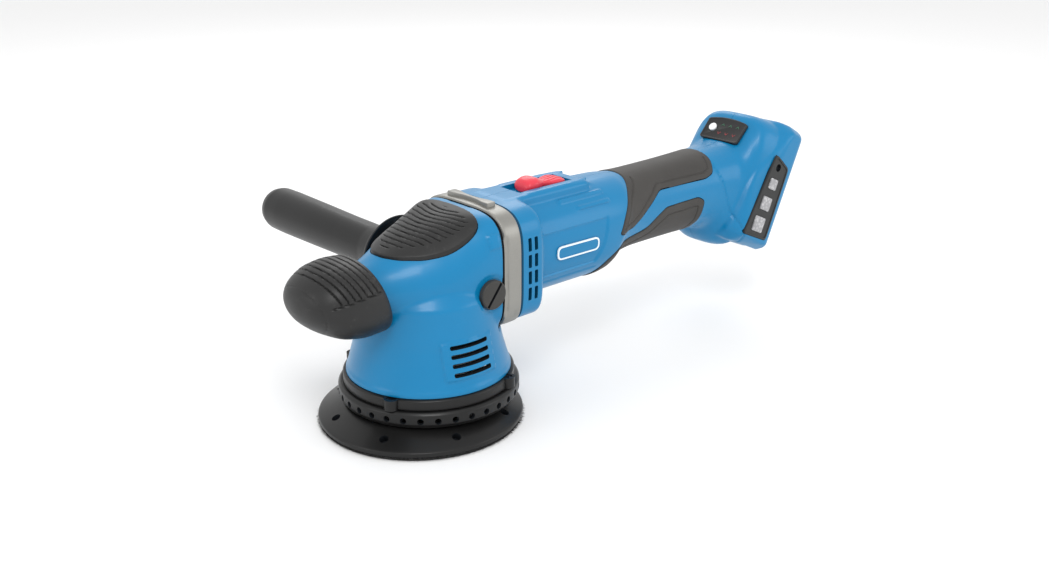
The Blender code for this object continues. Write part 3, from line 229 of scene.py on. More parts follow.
class Finish:
    """A material being made, with its output and Principled shader in place."""

    def __init__(self, name):
        self.material = bpy.data.materials.new(name)
        self.material.use_nodes = True
        self.tree = self.material.node_tree
        self.shader = self.tree.nodes["Principled BSDF"]
        self.place = self.node("ShaderNodeTexCoord", output="Object")

    def node(self, kind, settings=None, inputs=None, output=0):
        """Adds a node: its settings first, then its sockets' values or links."""
        made = self.tree.nodes.new(kind)
        for name, value in (settings or {}).items():
            if name == "stops":
                ramp = made.color_ramp
                while len(ramp.elements) < len(value):
                    ramp.elements.new(0.5)
                for element, (position, colour) in zip(ramp.elements, value):
                    element.position = position
                    element.color = (*colour, 1) if len(colour) == 3 else colour
            else:
                setattr(made, name, value)
        for name, value in (inputs or {}).items():
            self.feed(made.inputs[name], value)
        return Wire(self, made.outputs[output])

    def feed(self, socket, value):
        if isinstance(value, Wire):
            self.tree.links.new(value.socket, socket)
        elif socket.type == "RGBA" and len(value) == 3:
            socket.default_value = (*value, 1)
        else:
            socket.default_value = value

    def set(self, **values):
        """Sets the Principled shader's sockets, named with underscores for spaces."""
        for name, value in values.items():
            self.feed(self.shader.inputs[name.replace("_", " ")], value)
        return self

    def noise(self, scale, detail=2.0, roughness=0.5, distortion=0.0, stretch=(1, 1, 1)):
        """Noise between 0 and 1, with scale in features per metre."""
        at = self.node("ShaderNodeMapping", {}, {"Vector": self.place, "Scale": stretch})
        values = {"Vector": at, "Scale": scale, "Detail": detail}
        values |= {"Roughness": roughness, "Distortion": distortion}
        return self.node("ShaderNodeTexNoise", {}, values)

    def cells(self, scale):
        """Distance from the middle of the nearest of scale cells per metre."""
        return self.node("ShaderNodeTexVoronoi", {}, {"Vector": self.place, "Scale": scale}, "Distance")

    def band(self, value, low, high):
        """0 below low and 1 above high, eased between."""
        settings = {"interpolation_type": "SMOOTHSTEP"}
        return self.node("ShaderNodeMapRange", settings, {"Value": value, "From Min": low, "From Max": high})

    def mix(self, factor, first, second):
        """A colour between two colours."""
        made = self.tree.nodes.new("ShaderNodeMix")
        made.data_type = "RGBA"
        self.feed(made.inputs[0], factor)
        self.feed(made.inputs[6], first)
        self.feed(made.inputs[7], second)
        return Wire(self, made.outputs[2])

    def bump(self, height, depth, strength=1.0):
        """Feeds the shader's normal from a height between 0 and 1 that is depth metres deep."""
        normal = self.node("ShaderNodeBump", {}, {"Strength": strength, "Distance": depth, "Height": height})
        self.set(Normal=normal)
        return self


def shade_of(colour, factor):
    """The colour made darker or lighter."""
    return tuple(min(1.0, channel * factor) for channel in colour)


FINISHES = {}


def finish_named(name):
    """The named material, made the first time it is asked for."""
    if name not in FINISHES:
        FINISHES[name] = FINISH_MAKERS[name](name).material
    return FINISHES[name]


def moulded_finish(name, colour, rough=0.33, grain=0.00003, speckle=0.05, coat=0.0):
    """Hard moulded plastic: spark-eroded grain, slow tone changes and faint handling marks."""
    made = Finish(name)
    slow = made.noise(28, 3)
    fine = made.noise(1500, 2, 0.6)
    scuff = made.band(made.noise(260, 4, 0.7, 0.6, (1, 4, 4)), 0.62, 0.74)
    tone = made.mix(slow * 0.9, shade_of(colour, 1 - speckle), shade_of(colour, 1 + speckle))
    tone = made.mix(scuff * 0.10, tone, shade_of(colour, 1.5))
    made.set(Base_Color=tone, Roughness=rough + 0.08 * slow + 0.07 * fine + 0.10 * scuff)
    made.set(Coat_Weight=coat, Specular_IOR_Level=0.28, Coat_Roughness=0.15)
    return made.bump(fine * 0.7 + made.noise(420, 2) * 0.3, grain, 0.6)


def rubber_finish(name, colour, rough=0.62, grain=0.00005):
    """Soft overmoulded rubber: a stippled skin that has polished a little where it is held."""
    made = Finish(name)
    slow = made.noise(34, 3)
    stipple = made.cells(1900)
    fine = made.noise(2600, 2, 0.6)
    dust = made.band(made.noise(190, 5, 0.7), 0.56, 0.78)
    tone = made.mix(slow, shade_of(colour, 0.82), shade_of(colour, 1.2))
    tone = made.mix(dust * 0.14, tone, (0.16, 0.155, 0.148))
    made.set(Base_Color=tone, Roughness=rough - 0.12 * slow + 0.10 * fine + 0.06 * dust)
    made.set(Specular_IOR_Level=0.3)
    return made.bump(stipple * 0.6 + fine * 0.4, grain, 0.7)


def metal_finish(name, colour, rough=0.34, stretch=(1, 1, 1), metallic=1.0, grain=0.00002, scale=700):
    """Machined, cast or plated metal, brushed along its stretch."""
    made = Finish(name)
    brush = made.noise(scale, 3, 0.6, 0.0, stretch)
    slow = made.noise(40, 3)
    stain = made.band(made.noise(150, 5, 0.7), 0.58, 0.75)
    tone = made.mix(slow * 0.6 + brush * 0.4, shade_of(colour, 0.82), shade_of(colour, 1.12))
    tone = made.mix(stain * 0.2, tone, shade_of(colour, 0.55))
    made.set(Base_Color=tone, Roughness=rough + 0.14 * brush + 0.08 * stain, Metallic=metallic)
    return made.bump(brush, grain, 0.5)


def lens_finish(name):
    """Milky translucent moulding with a facetted back that shows through as pale cells."""
    made = Finish(name)
    cells = made.cells(420)
    slow = made.noise(160, 3)
    tone = made.mix(made.band(cells, 0.15, 0.62), (0.42, 0.42, 0.43), (0.22, 0.22, 0.23))
    tone = made.mix(slow * 0.3, tone, (0.52, 0.52, 0.53))
    made.set(Base_Color=tone, Roughness=0.14 + 0.1 * slow, Coat_Weight=0.6, Coat_Roughness=0.05)
    return made.bump(cells, 0.0001, 0.35)


def hook_finish(name):
    """Hook fabric: rows of tiny loops over a dark ground."""
    made = Finish(name)
    hooks = made.cells(900)
    rows = made.noise(260, 2, 0.5, 0.2, (1, 6, 1))
    tone = made.mix(made.band(hooks, 0.1, 0.55), (0.055, 0.055, 0.055), (0.008, 0.008, 0.008))
    tone = made.mix(rows * 0.3, tone, (0.035, 0.035, 0.036))
    made.set(Base_Color=tone, Roughness=0.86 + 0.1 * rows)
    return made.bump(1 - hooks, 0.0006, 0.9)


def winding_finish(name):
    """Dark laminations with copper showing between them."""
    made = Finish(name)
    turns = made.noise(900, 2, 0.5, 0.0, (3, 1, 1))
    copper = made.band(made.noise(120, 2), 0.42, 0.5)
    tone = made.mix(copper, (0.10, 0.10, 0.11), (0.62, 0.26, 0.10))
    made.set(Base_Color=tone, Metallic=0.85, Roughness=0.35 + 0.2 * turns)
    return made.bump(turns, 0.0001, 0.6)


def glow_finish(name, colour):
    """A small unlit indicator behind the panel's smoked face."""
    made = Finish(name)
    slow = made.noise(700, 2)
    made.set(Base_Color=made.mix(slow, shade_of(colour, 0.7), colour), Roughness=0.3 + 0.1 * slow)
    made.set(Coat_Weight=0.8, Coat_Roughness=0.08)
    return made


def floor_finish(name):
    made = Finish(name)
    colour = tuple(bpy.context.scene.polisher_stage.floor_colour)
    slow = made.noise(2.5, 2)
    made.set(Base_Color=made.mix(slow, shade_of(colour, 0.99), colour), Roughness=0.75 + 0.05 * slow)
    return made


def shell_colour():
    return tuple(bpy.context.scene.polisher_shell.colour)


def grip_colour():
    return tuple(bpy.context.scene.polisher_grips.colour)


def pad_colour():
    return tuple(bpy.context.scene.polisher_grips.pad_colour)


FINISH_MAKERS = {
    "shell_blue": lambda n: moulded_finish(n, shell_colour(), 0.27, coat=0.15),
    "handle_rubber": lambda n: rubber_finish(n, grip_colour(), 0.58),
    "pad_rubber": lambda n: rubber_finish(n, pad_colour(), 0.44, 0.00003),
    "black_moulding": lambda n: moulded_finish(n, (0.013, 0.013, 0.013), 0.36, 0.00004, 0.25),
    "plate_black": lambda n: moulded_finish(n, (0.007, 0.007, 0.007), 0.3, 0.00003, 0.25, 0.1),
    "side_handle_black": lambda n: moulded_finish(n, (0.009, 0.009, 0.009), 0.34, 0.00007, 0.3, 0.1),
    "plug_grey": lambda n: moulded_finish(n, (0.040, 0.039, 0.037), 0.45, 0.00005, 0.15),
    "panel_smoke": lambda n: moulded_finish(n, (0.012, 0.012, 0.013), 0.3, 0.00001, 0.15, 0.3),
    "window_black": lambda n: moulded_finish(n, (0.028, 0.029, 0.029), 0.42, 0.00004, 0.2),
    # Painted shade: a near-black finish for the walls of slots, holes, pockets and joints, which stand in
    # shade.
    "vent_dark": lambda n: moulded_finish(n, (0.004, 0.006, 0.009), 0.7, 0.00002, 0.1),
    # Painted shade: the shell's blue darkened to 0.35, for the walls of vents, slots and recesses where
    # shade falls.
    "recess_blue": lambda n: moulded_finish(n, shade_of(shell_colour(), 0.35), 0.5, 0.00003, 0.1),
    "switch_red": lambda n: moulded_finish(n, (0.69, 0.040, 0.066), 0.3, 0.00002, 0.06, 0.2),
    "button_white": lambda n: moulded_finish(n, (0.84, 0.85, 0.86), 0.3, 0.00002, 0.03, 0.2),
    "badge_white": lambda n: moulded_finish(n, (0.80, 0.86, 0.9), 0.35, 0.00001, 0.03),
    "ring_grey": lambda n: metal_finish(n, (0.29, 0.285, 0.265), 0.32, (1, 1, 1), 0.7, 0.00004, 900),
    "cast_grey": lambda n: metal_finish(n, (0.36, 0.35, 0.33), 0.45, (1, 1, 1), 0.85, 0.00008, 500),
    "turned_steel": lambda n: metal_finish(n, (0.56, 0.56, 0.58), 0.26, (1, 1, 9)),
    "dark_steel": lambda n: metal_finish(n, (0.10, 0.10, 0.105), 0.34),
    "contact_brass": lambda n: metal_finish(n, (0.75, 0.5, 0.2), 0.24),
    "winding": winding_finish,
    "lens_milky": lens_finish,
    "hook_fabric": hook_finish,
    "mark_green": lambda n: glow_finish(n, (0.012, 0.17, 0.07)),
    "mark_red": lambda n: glow_finish(n, (0.42, 0.014, 0.022)),
    "floor_pale": floor_finish,
}


# ------------------------------------------------------------ shape helpers


def add_mesh(name, mesh, *finishes):
    """Puts a mesh in the scene as an object with these finishes."""
    made = bpy.data.objects.new(name, mesh)
    bpy.context.scene.collection.objects.link(made)
    mesh.materials.clear()
    for finish in finishes:
        mesh.materials.append(finish_named(finish))
    return made


def from_bmesh(name, bm, *finishes):
    bmesh.ops.recalc_face_normals(bm, faces=bm.faces)
    mesh = bpy.data.meshes.new(name)
    bm.to_mesh(mesh)
    bm.free()
    return add_mesh(name, mesh, *finishes)


def settle(obj):
    """Applies all of an object's modifiers."""
    shape = obj.evaluated_get(bpy.context.evaluated_depsgraph_get())
    mesh = bpy.data.meshes.new_from_object(shape)
    mesh.transform(obj.matrix_world)
    old = obj.data
    obj.modifiers.clear()
    obj.data = mesh
    obj.matrix_world = Matrix.Identity(4)
    bpy.data.meshes.remove(old)
    return obj


def shade(obj, angle=38):
    """Joins points that coincide, closes slits left by a cut, and smooths all but sharp edges."""
    bm = bmesh.new()
    bm.from_mesh(obj.data)
    bmesh.ops.remove_doubles(bm, verts=bm.verts, dist=0.000003)
    bmesh.ops.dissolve_degenerate(bm, edges=bm.edges, dist=0.000001)
    bmesh.ops.delete(bm, geom=[e for e in bm.edges if not e.link_faces], context="EDGES")
    bmesh.ops.holes_fill(bm, edges=[e for e in bm.edges if e.is_boundary], sides=0)
    bm.to_mesh(obj.data)
    bm.free()
    obj.data.shade_smooth()
    obj.data.set_sharp_from_angle(angle=math.radians(angle))
    return obj


def bevelled(obj, width, segments=3, angle=35):
    """Rounds the edges that are sharper than the angle, and settles the shape."""
    rounding = obj.modifiers.new("rounding", "BEVEL")
    rounding.width = width * MM
    rounding.segments = segments
    rounding.limit_method = "ANGLE"
    rounding.angle_limit = math.radians(angle)
    rounding.harden_normals = False
    return shade(settle(obj))


def moved(obj, change):
    obj.data.transform(change)
    return obj


def eased(rows, step):
    """Rows resampled about every step millimetres, each column a monotone cubic."""
    rows = np.array(rows, float)
    middle = (rows[:, 0:2] + rows[:, 2:4]) / 2
    along = np.concatenate(([0], np.cumsum(np.linalg.norm(np.diff(middle, axis=0), axis=1))))
    gap = np.diff(along)[:, None]
    slope = np.diff(rows, axis=0) / gap
    tangent = np.vstack((slope[:1], np.zeros_like(slope[1:]), slope[-1:]))
    before, after = slope[:-1], slope[1:]
    same = before * after > 0
    safe_before, safe_after = np.where(same, before, 1), np.where(same, after, 1)
    weight = (2 * gap[1:] + gap[:-1]) / safe_before + (gap[1:] + 2 * gap[:-1]) / safe_after
    tangent[1:-1] = np.where(same, 3 * (gap[:-1] + gap[1:]) / weight, 0)
    at = np.linspace(0, along[-1], max(3, int(along[-1] / step) + 1))
    i = np.clip(np.searchsorted(along, at, side="right") - 1, 0, len(gap) - 1)
    width = gap[i]
    t = ((at - along[i]) / width[:, 0])[:, None]
    first = (2 * t**3 - 3 * t**2 + 1) * rows[i] + (t**3 - 2 * t**2 + t) * width * tangent[i]
    second = (3 * t**2 - 2 * t**3) * rows[i + 1] + (t**3 - t**2) * width * tangent[i + 1]
    return first + second


def row_ring(row, count, grow=0.0):
    """Points round one row, in metres."""
    top = np.array((row[0], 0, row[1]))
    bottom = np.array((row[2], 0, row[3]))
    tall = np.linalg.norm(top - bottom) / 2
    up = (top - bottom) / (2 * tall)
    angle = (np.arange(count) + 0.5) * 2 * math.pi / count
    out, rise = np.sin(angle), np.cos(angle)
    power = np.where(rise > 0, row[5], row[6])
    reach = (np.abs(out) ** power + np.abs(rise) ** power) ** (-1 / power)
    height = (rise * reach * (tall + grow))[:, None] * up
    side = (out * reach * (row[4] + grow))[:, None] * np.array((0, 1, 0))
    return ((top + bottom) / 2 + height + side) * MM


def skin(name, rows, *finishes, grow=0.0, step=1.5, count=112):
    """A closed skin through the rows."""
    rings = [row_ring(row, count, grow) for row in eased(rows, step)]
    bm = bmesh.new()
    made = [[bm.verts.new(point) for point in ring] for ring in rings]
    for first, second in zip(made, made[1:]):
        for i in range(count):
            j = (i + 1) % count
            bm.faces.new((first[i], first[j], second[j], second[i]))
    bm.faces.new(made[0])
    bm.faces.new(made[-1])
    return shade(from_bmesh(name, bm, *finishes))


def rounded(outline, radius, steps=5):
    """The outline in millimetres with its corners rounded."""
    points = [Vector(p) for p in outline]
    found = []
    for before, here, after in zip(points[-1:] + points[:-1], points, points[1:] + points[:1]):
        back, ahead = before - here, after - here
        reach = min(radius, back.length * 0.45, ahead.length * 0.45)
        start, end = here + back.normalized() * reach, here + ahead.normalized() * reach
        for k in range(steps + 1):
            t = k / steps
            point = start * (1 - t) ** 2 + here * 2 * t * (1 - t) + end * t**2
            found.append((point.x, point.y))
    return found


def inset(outline, distance):
    """The outline with every edge moved inwards, or outwards with a negative distance."""
    points = [Vector(p) for p in outline]
    area = sum(a.x * b.y - b.x * a.y for a, b in zip(points, points[1:] + points[:1]))
    side = 1 if area > 0 else -1
    found = []
    for before, here, after in zip(points[-1:] + points[:-1], points, points[1:] + points[:1]):
        first, second = (here - before).normalized(), (after - here).normalized()
        normal = (Vector((-first.y, first.x)) + Vector((-second.y, second.x))).normalized() * side
        lean = max(0.35, normal.dot(Vector((-first.y, first.x)) * side))
        point = here + normal * distance / lean
        found.append((point.x, point.y))
    return found


def slab(name, outline, low, high, axis, *finishes):
    """An outline raised between two heights in millimetres, along X, Y or Z."""
    bm = bmesh.new()
    corners = {
        "X": lambda a, b, h: (h, a, b),
        "Y": lambda a, b, h: (a, h, b),
        "Z": lambda a, b, h: (a, b, h),
    }[axis]
    bottom = [bm.verts.new(Vector(corners(a, b, low)) * MM) for a, b in outline]
    top = [bm.verts.new(Vector(corners(a, b, high)) * MM) for a, b in outline]
    bm.faces.new(bottom)
    bm.faces.new(top)
    for i in range(len(outline)):
        j = (i + 1) % len(outline)
        bm.faces.new((bottom[i], bottom[j], top[j], top[i]))
    return from_bmesh(name, bm, *finishes)


def block(name, low, high, *finishes):
    """A box between two corners in millimetres."""
    outline = ((low[0], low[1]), (high[0], low[1]), (high[0], high[1]), (low[0], high[1]))
    return slab(name, outline, low[2], high[2], "Z", *finishes)


def rod(name, radius, low, high, at, axis, *finishes, sides=32, end_radius=None):
    """A cylinder or cone along an axis, in millimetres."""
    bm = bmesh.new()
    end = radius if end_radius is None else end_radius
    middle = Matrix.Translation((0, 0, (low + high) / 2 * MM))
    bmesh.ops.create_cone(
        bm, cap_ends=True, segments=sides, radius1=radius * MM, radius2=end * MM,
        depth=(high - low) * MM, matrix=middle,
    )
    turn = Vector((0, 0, 1)).rotation_difference(Vector(axis)).to_matrix().to_4x4()
    bmesh.ops.transform(bm, matrix=Matrix.Translation(Vector(at) * MM) @ turn, verts=bm.verts)
    return shade(from_bmesh(name, bm, *finishes))


def turned(name, profile, at, axis, *finishes, steps=128, closed=False):
    """A solid of revolution from (radius, height) points in millimetres that run down the outer side."""
    mesh = bpy.data.meshes.new(name)
    points = [(radius * MM, 0, height * MM) for radius, height in profile]
    edges = [(i, i + 1) for i in range(len(points) - 1)]
    if closed:
        edges.append((len(points) - 1, 0))
    mesh.from_pydata(points, edges, [])
    made = add_mesh(name, mesh, *finishes)
    screw = made.modifiers.new("turn", "SCREW")
    screw.steps = screw.render_steps = steps
    screw.use_merge_vertices = True
    screw.merge_threshold = 0.00001
    turn = Vector((0, 0, 1)).rotation_difference(Vector(axis)).to_matrix().to_4x4()
    made.matrix_world = Matrix.Translation(Vector(at) * MM) @ turn
    bpy.context.view_layer.update()
    return shade(settle(made))


def soft_profile(profile, radius=0.5, steps=3, closed=True):
    """A turned profile with rounded corners."""
    if closed:
        return rounded(profile, radius, steps)
    inner = rounded(profile, radius, steps)[steps + 1 : -(steps + 1)]
    return [profile[0], *inner, profile[-1]]


def combine(obj, others, operation="DIFFERENCE"):
    """Cuts, joins or keeps the part shared with the others, which are used up."""
    others = list(others)
    if not others:
        return obj
    tool = gathered(f"{obj.name}_tool", others)
    change = obj.modifiers.new("change", "BOOLEAN")
    change.operation = operation
    change.object = tool
    change.solver = "EXACT"
    change.use_self = operation == "UNION"
    change.material_mode = "TRANSFER"
    settle(obj)
    bpy.data.objects.remove(tool)
    return obj


def gathered(name, objects):
    """Several objects as one, keeping their finishes."""
    bm = bmesh.new()
    finishes = []
    for obj in objects:
        # Faces with no finish get the near-black painted shade finish.
        names = [m.name if m else "vent_dark" for m in obj.data.materials] or ["vent_dark"]
        index = []
        for finish in names:
            if finish not in finishes:
                finishes.append(finish)
            index.append(finishes.index(finish))
        start = len(bm.faces)
        bm.from_mesh(obj.data)
        bm.faces.ensure_lookup_table()
        for face in bm.faces[start:]:
            face.material_index = index[min(face.material_index, len(index) - 1)]
        bpy.data.objects.remove(obj)
    mesh = bpy.data.meshes.new(name)
    bm.to_mesh(mesh)
    bm.free()
    made = bpy.data.objects.new(name, mesh)
    bpy.context.scene.collection.objects.link(made)
    for finish in finishes:
        mesh.materials.append(finish_named(finish))
    return made


def fused(name, objects, voxel, relax, *finishes):
    """One flowing skin over several closed shapes."""
    made = gathered(name, objects)
    made.data.materials.clear()
    for finish in finishes:
        made.data.materials.append(finish_named(finish))
    remesh = made.modifiers.new("skin", "REMESH")
    remesh.mode = "VOXEL"
    remesh.voxel_size = voxel
    remesh.use_smooth_shade = True
    ease = made.modifiers.new("relax", "SMOOTH")
    ease.factor = 0.5
    ease.iterations = relax
    return settle(made)


def trimmed(obj, point, normal):
    """Cuts away what lies beyond a plane, in millimetres, and closes the cut."""
    bm = bmesh.new()
    bm.from_mesh(obj.data)
    every = [*bm.verts, *bm.edges, *bm.faces]
    found = bmesh.ops.bisect_plane(
        bm, geom=every, plane_co=Vector(point) * MM, plane_no=normal, clear_outer=True, dist=0.0000005
    )
    rim = [e for e in found["geom_cut"] if isinstance(e, bmesh.types.BMEdge)]
    bmesh.ops.holes_fill(bm, edges=rim, sides=0)
    bmesh.ops.recalc_face_normals(bm, faces=bm.faces)
    bm.to_mesh(obj.data)
    bm.free()
    return obj


def sculpt(obj, push):
    """Moves every point along its normal by push(points, normals), both in millimetres."""
    mesh = obj.data
    points = np.empty(len(mesh.vertices) * 3, np.float32)
    normals = np.empty(len(mesh.vertices) * 3, np.float32)
    mesh.vertices.foreach_get("co", points)
    mesh.vertices.foreach_get("normal", normals)
    points, normals = points.reshape(-1, 3) / MM, normals.reshape(-1, 3)
    points = points + normals * push(points, normals)[:, None]
    mesh.vertices.foreach_set("co", (points * MM).astype(np.float32).ravel())
    mesh.update()
    return obj


def ease_step(value, low, high):
    t = np.clip((value - low) / (high - low), 0, 1)
    return t * t * (3 - 2 * t)


def inside_box(a, b, low, high, soft):
    """1 inside a rectangle and 0 outside, eased over a soft border."""
    across = ease_step(a, low[0] - soft, low[0]) * (1 - ease_step(a, high[0], high[0] + soft))
    along = ease_step(b, low[1] - soft, low[1]) * (1 - ease_step(b, high[1], high[1] + soft))
    return across * along


def line_groove(value, places, width):
    """1 on each line's middle and 0 beyond its width."""
    depth = np.zeros_like(value)
    for place in places:
        depth = np.maximum(depth, 1 - ease_step(np.abs(value - place), width * 0.25, width))
    return depth


def show(obj, body, *nodes, slot=None):
    """Makes a finished piece ride on its body and stand for its nodes."""
    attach(obj, body)
    if nodes:
        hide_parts(*nodes)
    return obj


def paint(obj, finish, test):
    """Gives a finish to the faces whose centre in millimetres passes a test."""
    obj.data.materials.append(finish_named(finish))
    for face in obj.data.polygons:
        if test(face.center / MM):
            face.material_index = len(obj.data.materials) - 1
    return obj


def copy_of(obj, name):
    made = bpy.data.objects.new(name, obj.data.copy())
    bpy.context.scene.collection.objects.link(made)
    return made


def distance_to(outline, a, b):
    """Distance in millimetres from points to an outline, less than 0 inside it."""
    nearest = np.full(a.shape, 1e9)
    inside = np.zeros(a.shape, bool)
    corners = np.array(outline, float)
    for first, second in zip(corners, np.roll(corners, -1, 0)):
        run = second - first
        share = ((a - first[0]) * run[0] + (b - first[1]) * run[1]) / max(1e-9, run @ run)
        share = np.clip(share, 0, 1)
        away = np.hypot(a - first[0] - share * run[0], b - first[1] - share * run[1])
        nearest = np.minimum(nearest, away)
        crosses = (first[1] > b) != (second[1] > b)
        rise = run[1] if abs(run[1]) > 1e-9 else 1e-9
        inside ^= crosses & (a < first[0] + (b - first[1]) * run[0] / rise)
    return np.where(inside, -nearest, nearest)


def foot_point(depth, height):
    """X and Z, that far forward of the battery face and up along it."""
    forward, rise = math.cos(FOOT_TILT), math.sin(FOOT_TILT)
    x = FOOT_CENTRE[0] - depth * forward + height * rise
    z = FOOT_CENTRE[1] + depth * rise + height * forward
    return (x, z)


def foot_row(depth, half_width, power):
    high, low = foot_point(depth, FOOT_HALF_HEIGHT), foot_point(depth, -FOOT_HALF_HEIGHT)
    return (*high, *low, half_width, power, power)


def body_rows(end=0.0):
    """Rows of the barrel, the handle and the foot, front to back."""
    flare = (
        (256, 123.8, 239, 67, 26.8, 2.4, 2.4),
        (266, 125.2, 243, 60.5, 28, 2.6, 2.6),
        (279.4, 137.5, 249, 54.5, 30.5, 3, 3),
        (287, 143, 256, 52, 32.5, 3.6, 3.6),
    )
    return (*BARREL_ROWS, *flare, foot_row(22, 35, 4.4), foot_row(end, FOOT_HALF_WIDTH - 2, 5.5))


def foot_facets(end):
    """The foot's flat faces: a hull of corners given as depth, height and half width."""
    corners = (
        (end, 43, 34.5), (end, -43, 34.5), (end, 46, 29), (end, -46, 29), (2, 41, 38), (2, -41, 38),
        (14, 41.5, 38), (33, -39, 38), (18, 47.2, 25), (12, 46.5, 31), (34, -46, 29), (40, -45, 22),
        (31, 37, 17), (42, -38, 29), (30, 36, 22), (38, 0, 33),
    )
    bm = bmesh.new()
    for depth, height, half in corners:
        x, z = foot_point(depth, height)
        for side in (-1, 1):
            bm.verts.new(Vector((x, half * side, z)) * MM)
    bmesh.ops.convex_hull(bm, input=bm.verts)
    bmesh.ops.delete(bm, geom=[v for v in bm.verts if not v.link_faces], context="VERTS")
    return bevelled(from_bmesh("foot_facets", bm, "shell_blue"), 2.4, 3, 12)


def bell(name, grow, top, low, *finishes):
    """The skirt round the spindle, as one turned solid."""
    rows = [(radius + grow, height) for radius, height in BELL_PROFILE if low < height < top]
    return turned(name, [(0, top), *rows, (rows[-1][0], low), (0, low)], ORIGIN, UP, *finishes)


def palm_edge():
    return rounded(PALM_OUTLINE, 12, 4)


# -------------------------------------------------------------------- pieces


def build_head():
    """The blue head: a block and a flared skirt in one flowing shape."""
    voxel = bpy.context.scene.polisher_shell.voxel
    skirt = bell("skirt", 0, 84, 27)
    shoulder = turned("shoulder", [(0, 90), (26, 89), (37, 86), (41.5, 80), (41.8, 74), (0, 74)], ORIGIN, UP)
    boss = rod("boss", 16, 20, 46.7, SIDE_SEAT, RIGHTWARD, end_radius=15.4, sides=64)
    behind = block("behind", (28.7, -70, 54.6), (80, 70, 130), "shell_blue")
    head = fused("head", [skin("head_block", HEAD_ROWS), skirt, shoulder, boss], voxel, 9, "shell_blue")

    def detail(p, n):
        x, y, z = p.T
        side = ease_step(np.abs(y), 26, 30)
        panel = inside_box(x, z, (-20, 39.4), (14, 60.4), 0.9) * side
        lip = 1 - ease_step(z, 32.5, 34.5)
        lug_rise = inside_box(x, z, (19.5, 109), (25.5, 116), 1.2) * ease_step(-y, 28, 30)
        seat = 1 - ease_step(np.hypot(x - SIDE_SEAT[0], z - SIDE_SEAT[2]), 10.6, 12.4)
        seat = seat * ease_step(-y, 30, 33)
        rear = ease_step(x, 26.9, 27.9) * ease_step(z, 53.8, 55.2)
        return 1.1 * panel + 0.55 * lip + 1.1 * lug_rise - 0.7 * seat - 1.2 * rear

    sculpt(head, detail)
    head = combine(head, [behind])
    trimmed(head, (0, 0, 30.5), (0, 0, -1))
    hollow = fused(
        "hollow", [skin("inner", HEAD_ROWS[2:], grow=-2.9, step=4), bell("inner_bell", -2.9, 83, 27)],
        0.0025, 2, "shell_blue",
    )
    combine(head, [hollow])
    # Painted shade: the threaded holes' walls take the near-black shade finish.
    threads = [rod("thread", 5.3, 20, 60, SIDE_SEAT, way, "vent_dark") for way in (LEFTWARD, RIGHTWARD)]
    combine(head, threads)
    combine(head, [rod("plug_seat", 9.8, 37.4, 60, SIDE_SEAT, LEFTWARD, "shell_blue", sides=64)])
    # Painted shade: the vent slots' walls take the near-black shade finish.
    slots = []
    for i in range(4):
        low = 40.9 + 5.3 * i
        outline = rounded(((-16, low), (10, low), (10, low + 2.6), (-16, low + 2.6)), 1.2, 4)
        slots.append(slab(f"slot_{i}_left", outline, -60, -30, "Y", "vent_dark"))
        slots.append(slab(f"slot_{i}_right", outline, 30, 60, "Y", "vent_dark"))
    combine(head, slots)
    # Painted shade: the pocket under the palm pad, seen in the gap round it, takes the near-black shade
    # finish.
    pocket = slab("pocket", inset(palm_edge(), -0.35), 90, 140, "Z", "vent_dark")
    combine(pocket, [skin("palm_bed", HEAD_ROWS, "vent_dark", grow=-1.2)])
    combine(head, [pocket])
    # Painted shade: the stepped band where the head meets the ring is painted near-black.
    paint(head, "vent_dark", lambda p: p.x > 27.3 and p.z > 54.6)
    show(shade(head), "housing", "gear_housing", slot="blue")


def build_nose():
    """The soft nose with its band of curved grooves."""
    depth = bpy.context.scene.polisher_grips.groove / MM
    nose = skin("nose", NOSE_ROWS, "pad_rubber", step=0.45, count=200)

    def detail(p, n):
        x, y, z = p.T
        ahead = -40.6 - (z - 71) * 10 / 36.6 - x
        bent = ahead + 0.012 * y * y * 0.25
        lower = 95.5 - 0.10 * ahead + 0.004 * y * y
        upper = ease_step(z, lower - 0.6, lower + 0.9) * (1 - ease_step(ahead, 34, 35.5))
        grooves = line_groove(bent, [3.4 + 3.9 * i for i in range(8)], 0.65) * upper
        border = line_groove(z - lower, [-0.4], 0.75) * ease_step(ahead, 2.0, 3.4)
        border = border * (1 - ease_step(ahead, 33, 36))
        seam = line_groove(ahead, [38.5], 0.45) * (1 - upper)
        return -depth * np.maximum(grooves, 0.8 * border) - 0.3 * seam

    sculpt(nose, detail)
    ahead = tuple((row[0] - 0.6, row[1], row[2] - 0.6, *row[3:]) for row in HEAD_ROWS[:1])
    combine(nose, [skin("socket", (*ahead, *HEAD_ROWS[:4]), "pad_rubber", grow=0.4, step=2)])
    show(shade(nose), "housing", "nose_grip", slot="rubber")


def build_palm_pad():
    """The leaf-shaped palm pad with arcs of grooves inside a plain border."""
    depth = bpy.context.scene.polisher_grips.groove / MM
    pad = slab("palm_pad", palm_edge(), 90, 140, "Z")
    combine(pad, [skin("pad_top", HEAD_ROWS, grow=1.6)], "INTERSECT")
    combine(pad, [skin("pad_under", HEAD_ROWS, grow=-0.85)])
    pad = fused("palm_pad_skin", [pad], 0.0005, 3, "pad_rubber")

    def detail(p, n):
        x, y, _ = p.T
        edge = -distance_to(PALM_OUTLINE, x, y)
        inner = ease_step(edge, 5.2, 6.2) * (n[:, 2] > 0.2)
        bent = x - 0.016 * y * y + 0.9 * np.clip(np.abs(y) - 14, 0, 9) * 0.22
        grooves = line_groove(bent, [-33 + 3.5 * i for i in range(16)], 0.6) * inner
        return -1.0 * depth * grooves

    sculpt(pad, detail)
    show(shade(pad, 50), "housing", "top_grip", slot="rubber")


def ring_rows(places):
    """Rows of the flange's section at pairs of X and growth."""
    top, bottom, half, upper, lower = FLANGE
    return tuple((x, top + g, x, bottom - g, half + g, upper, lower) for x, g in places)


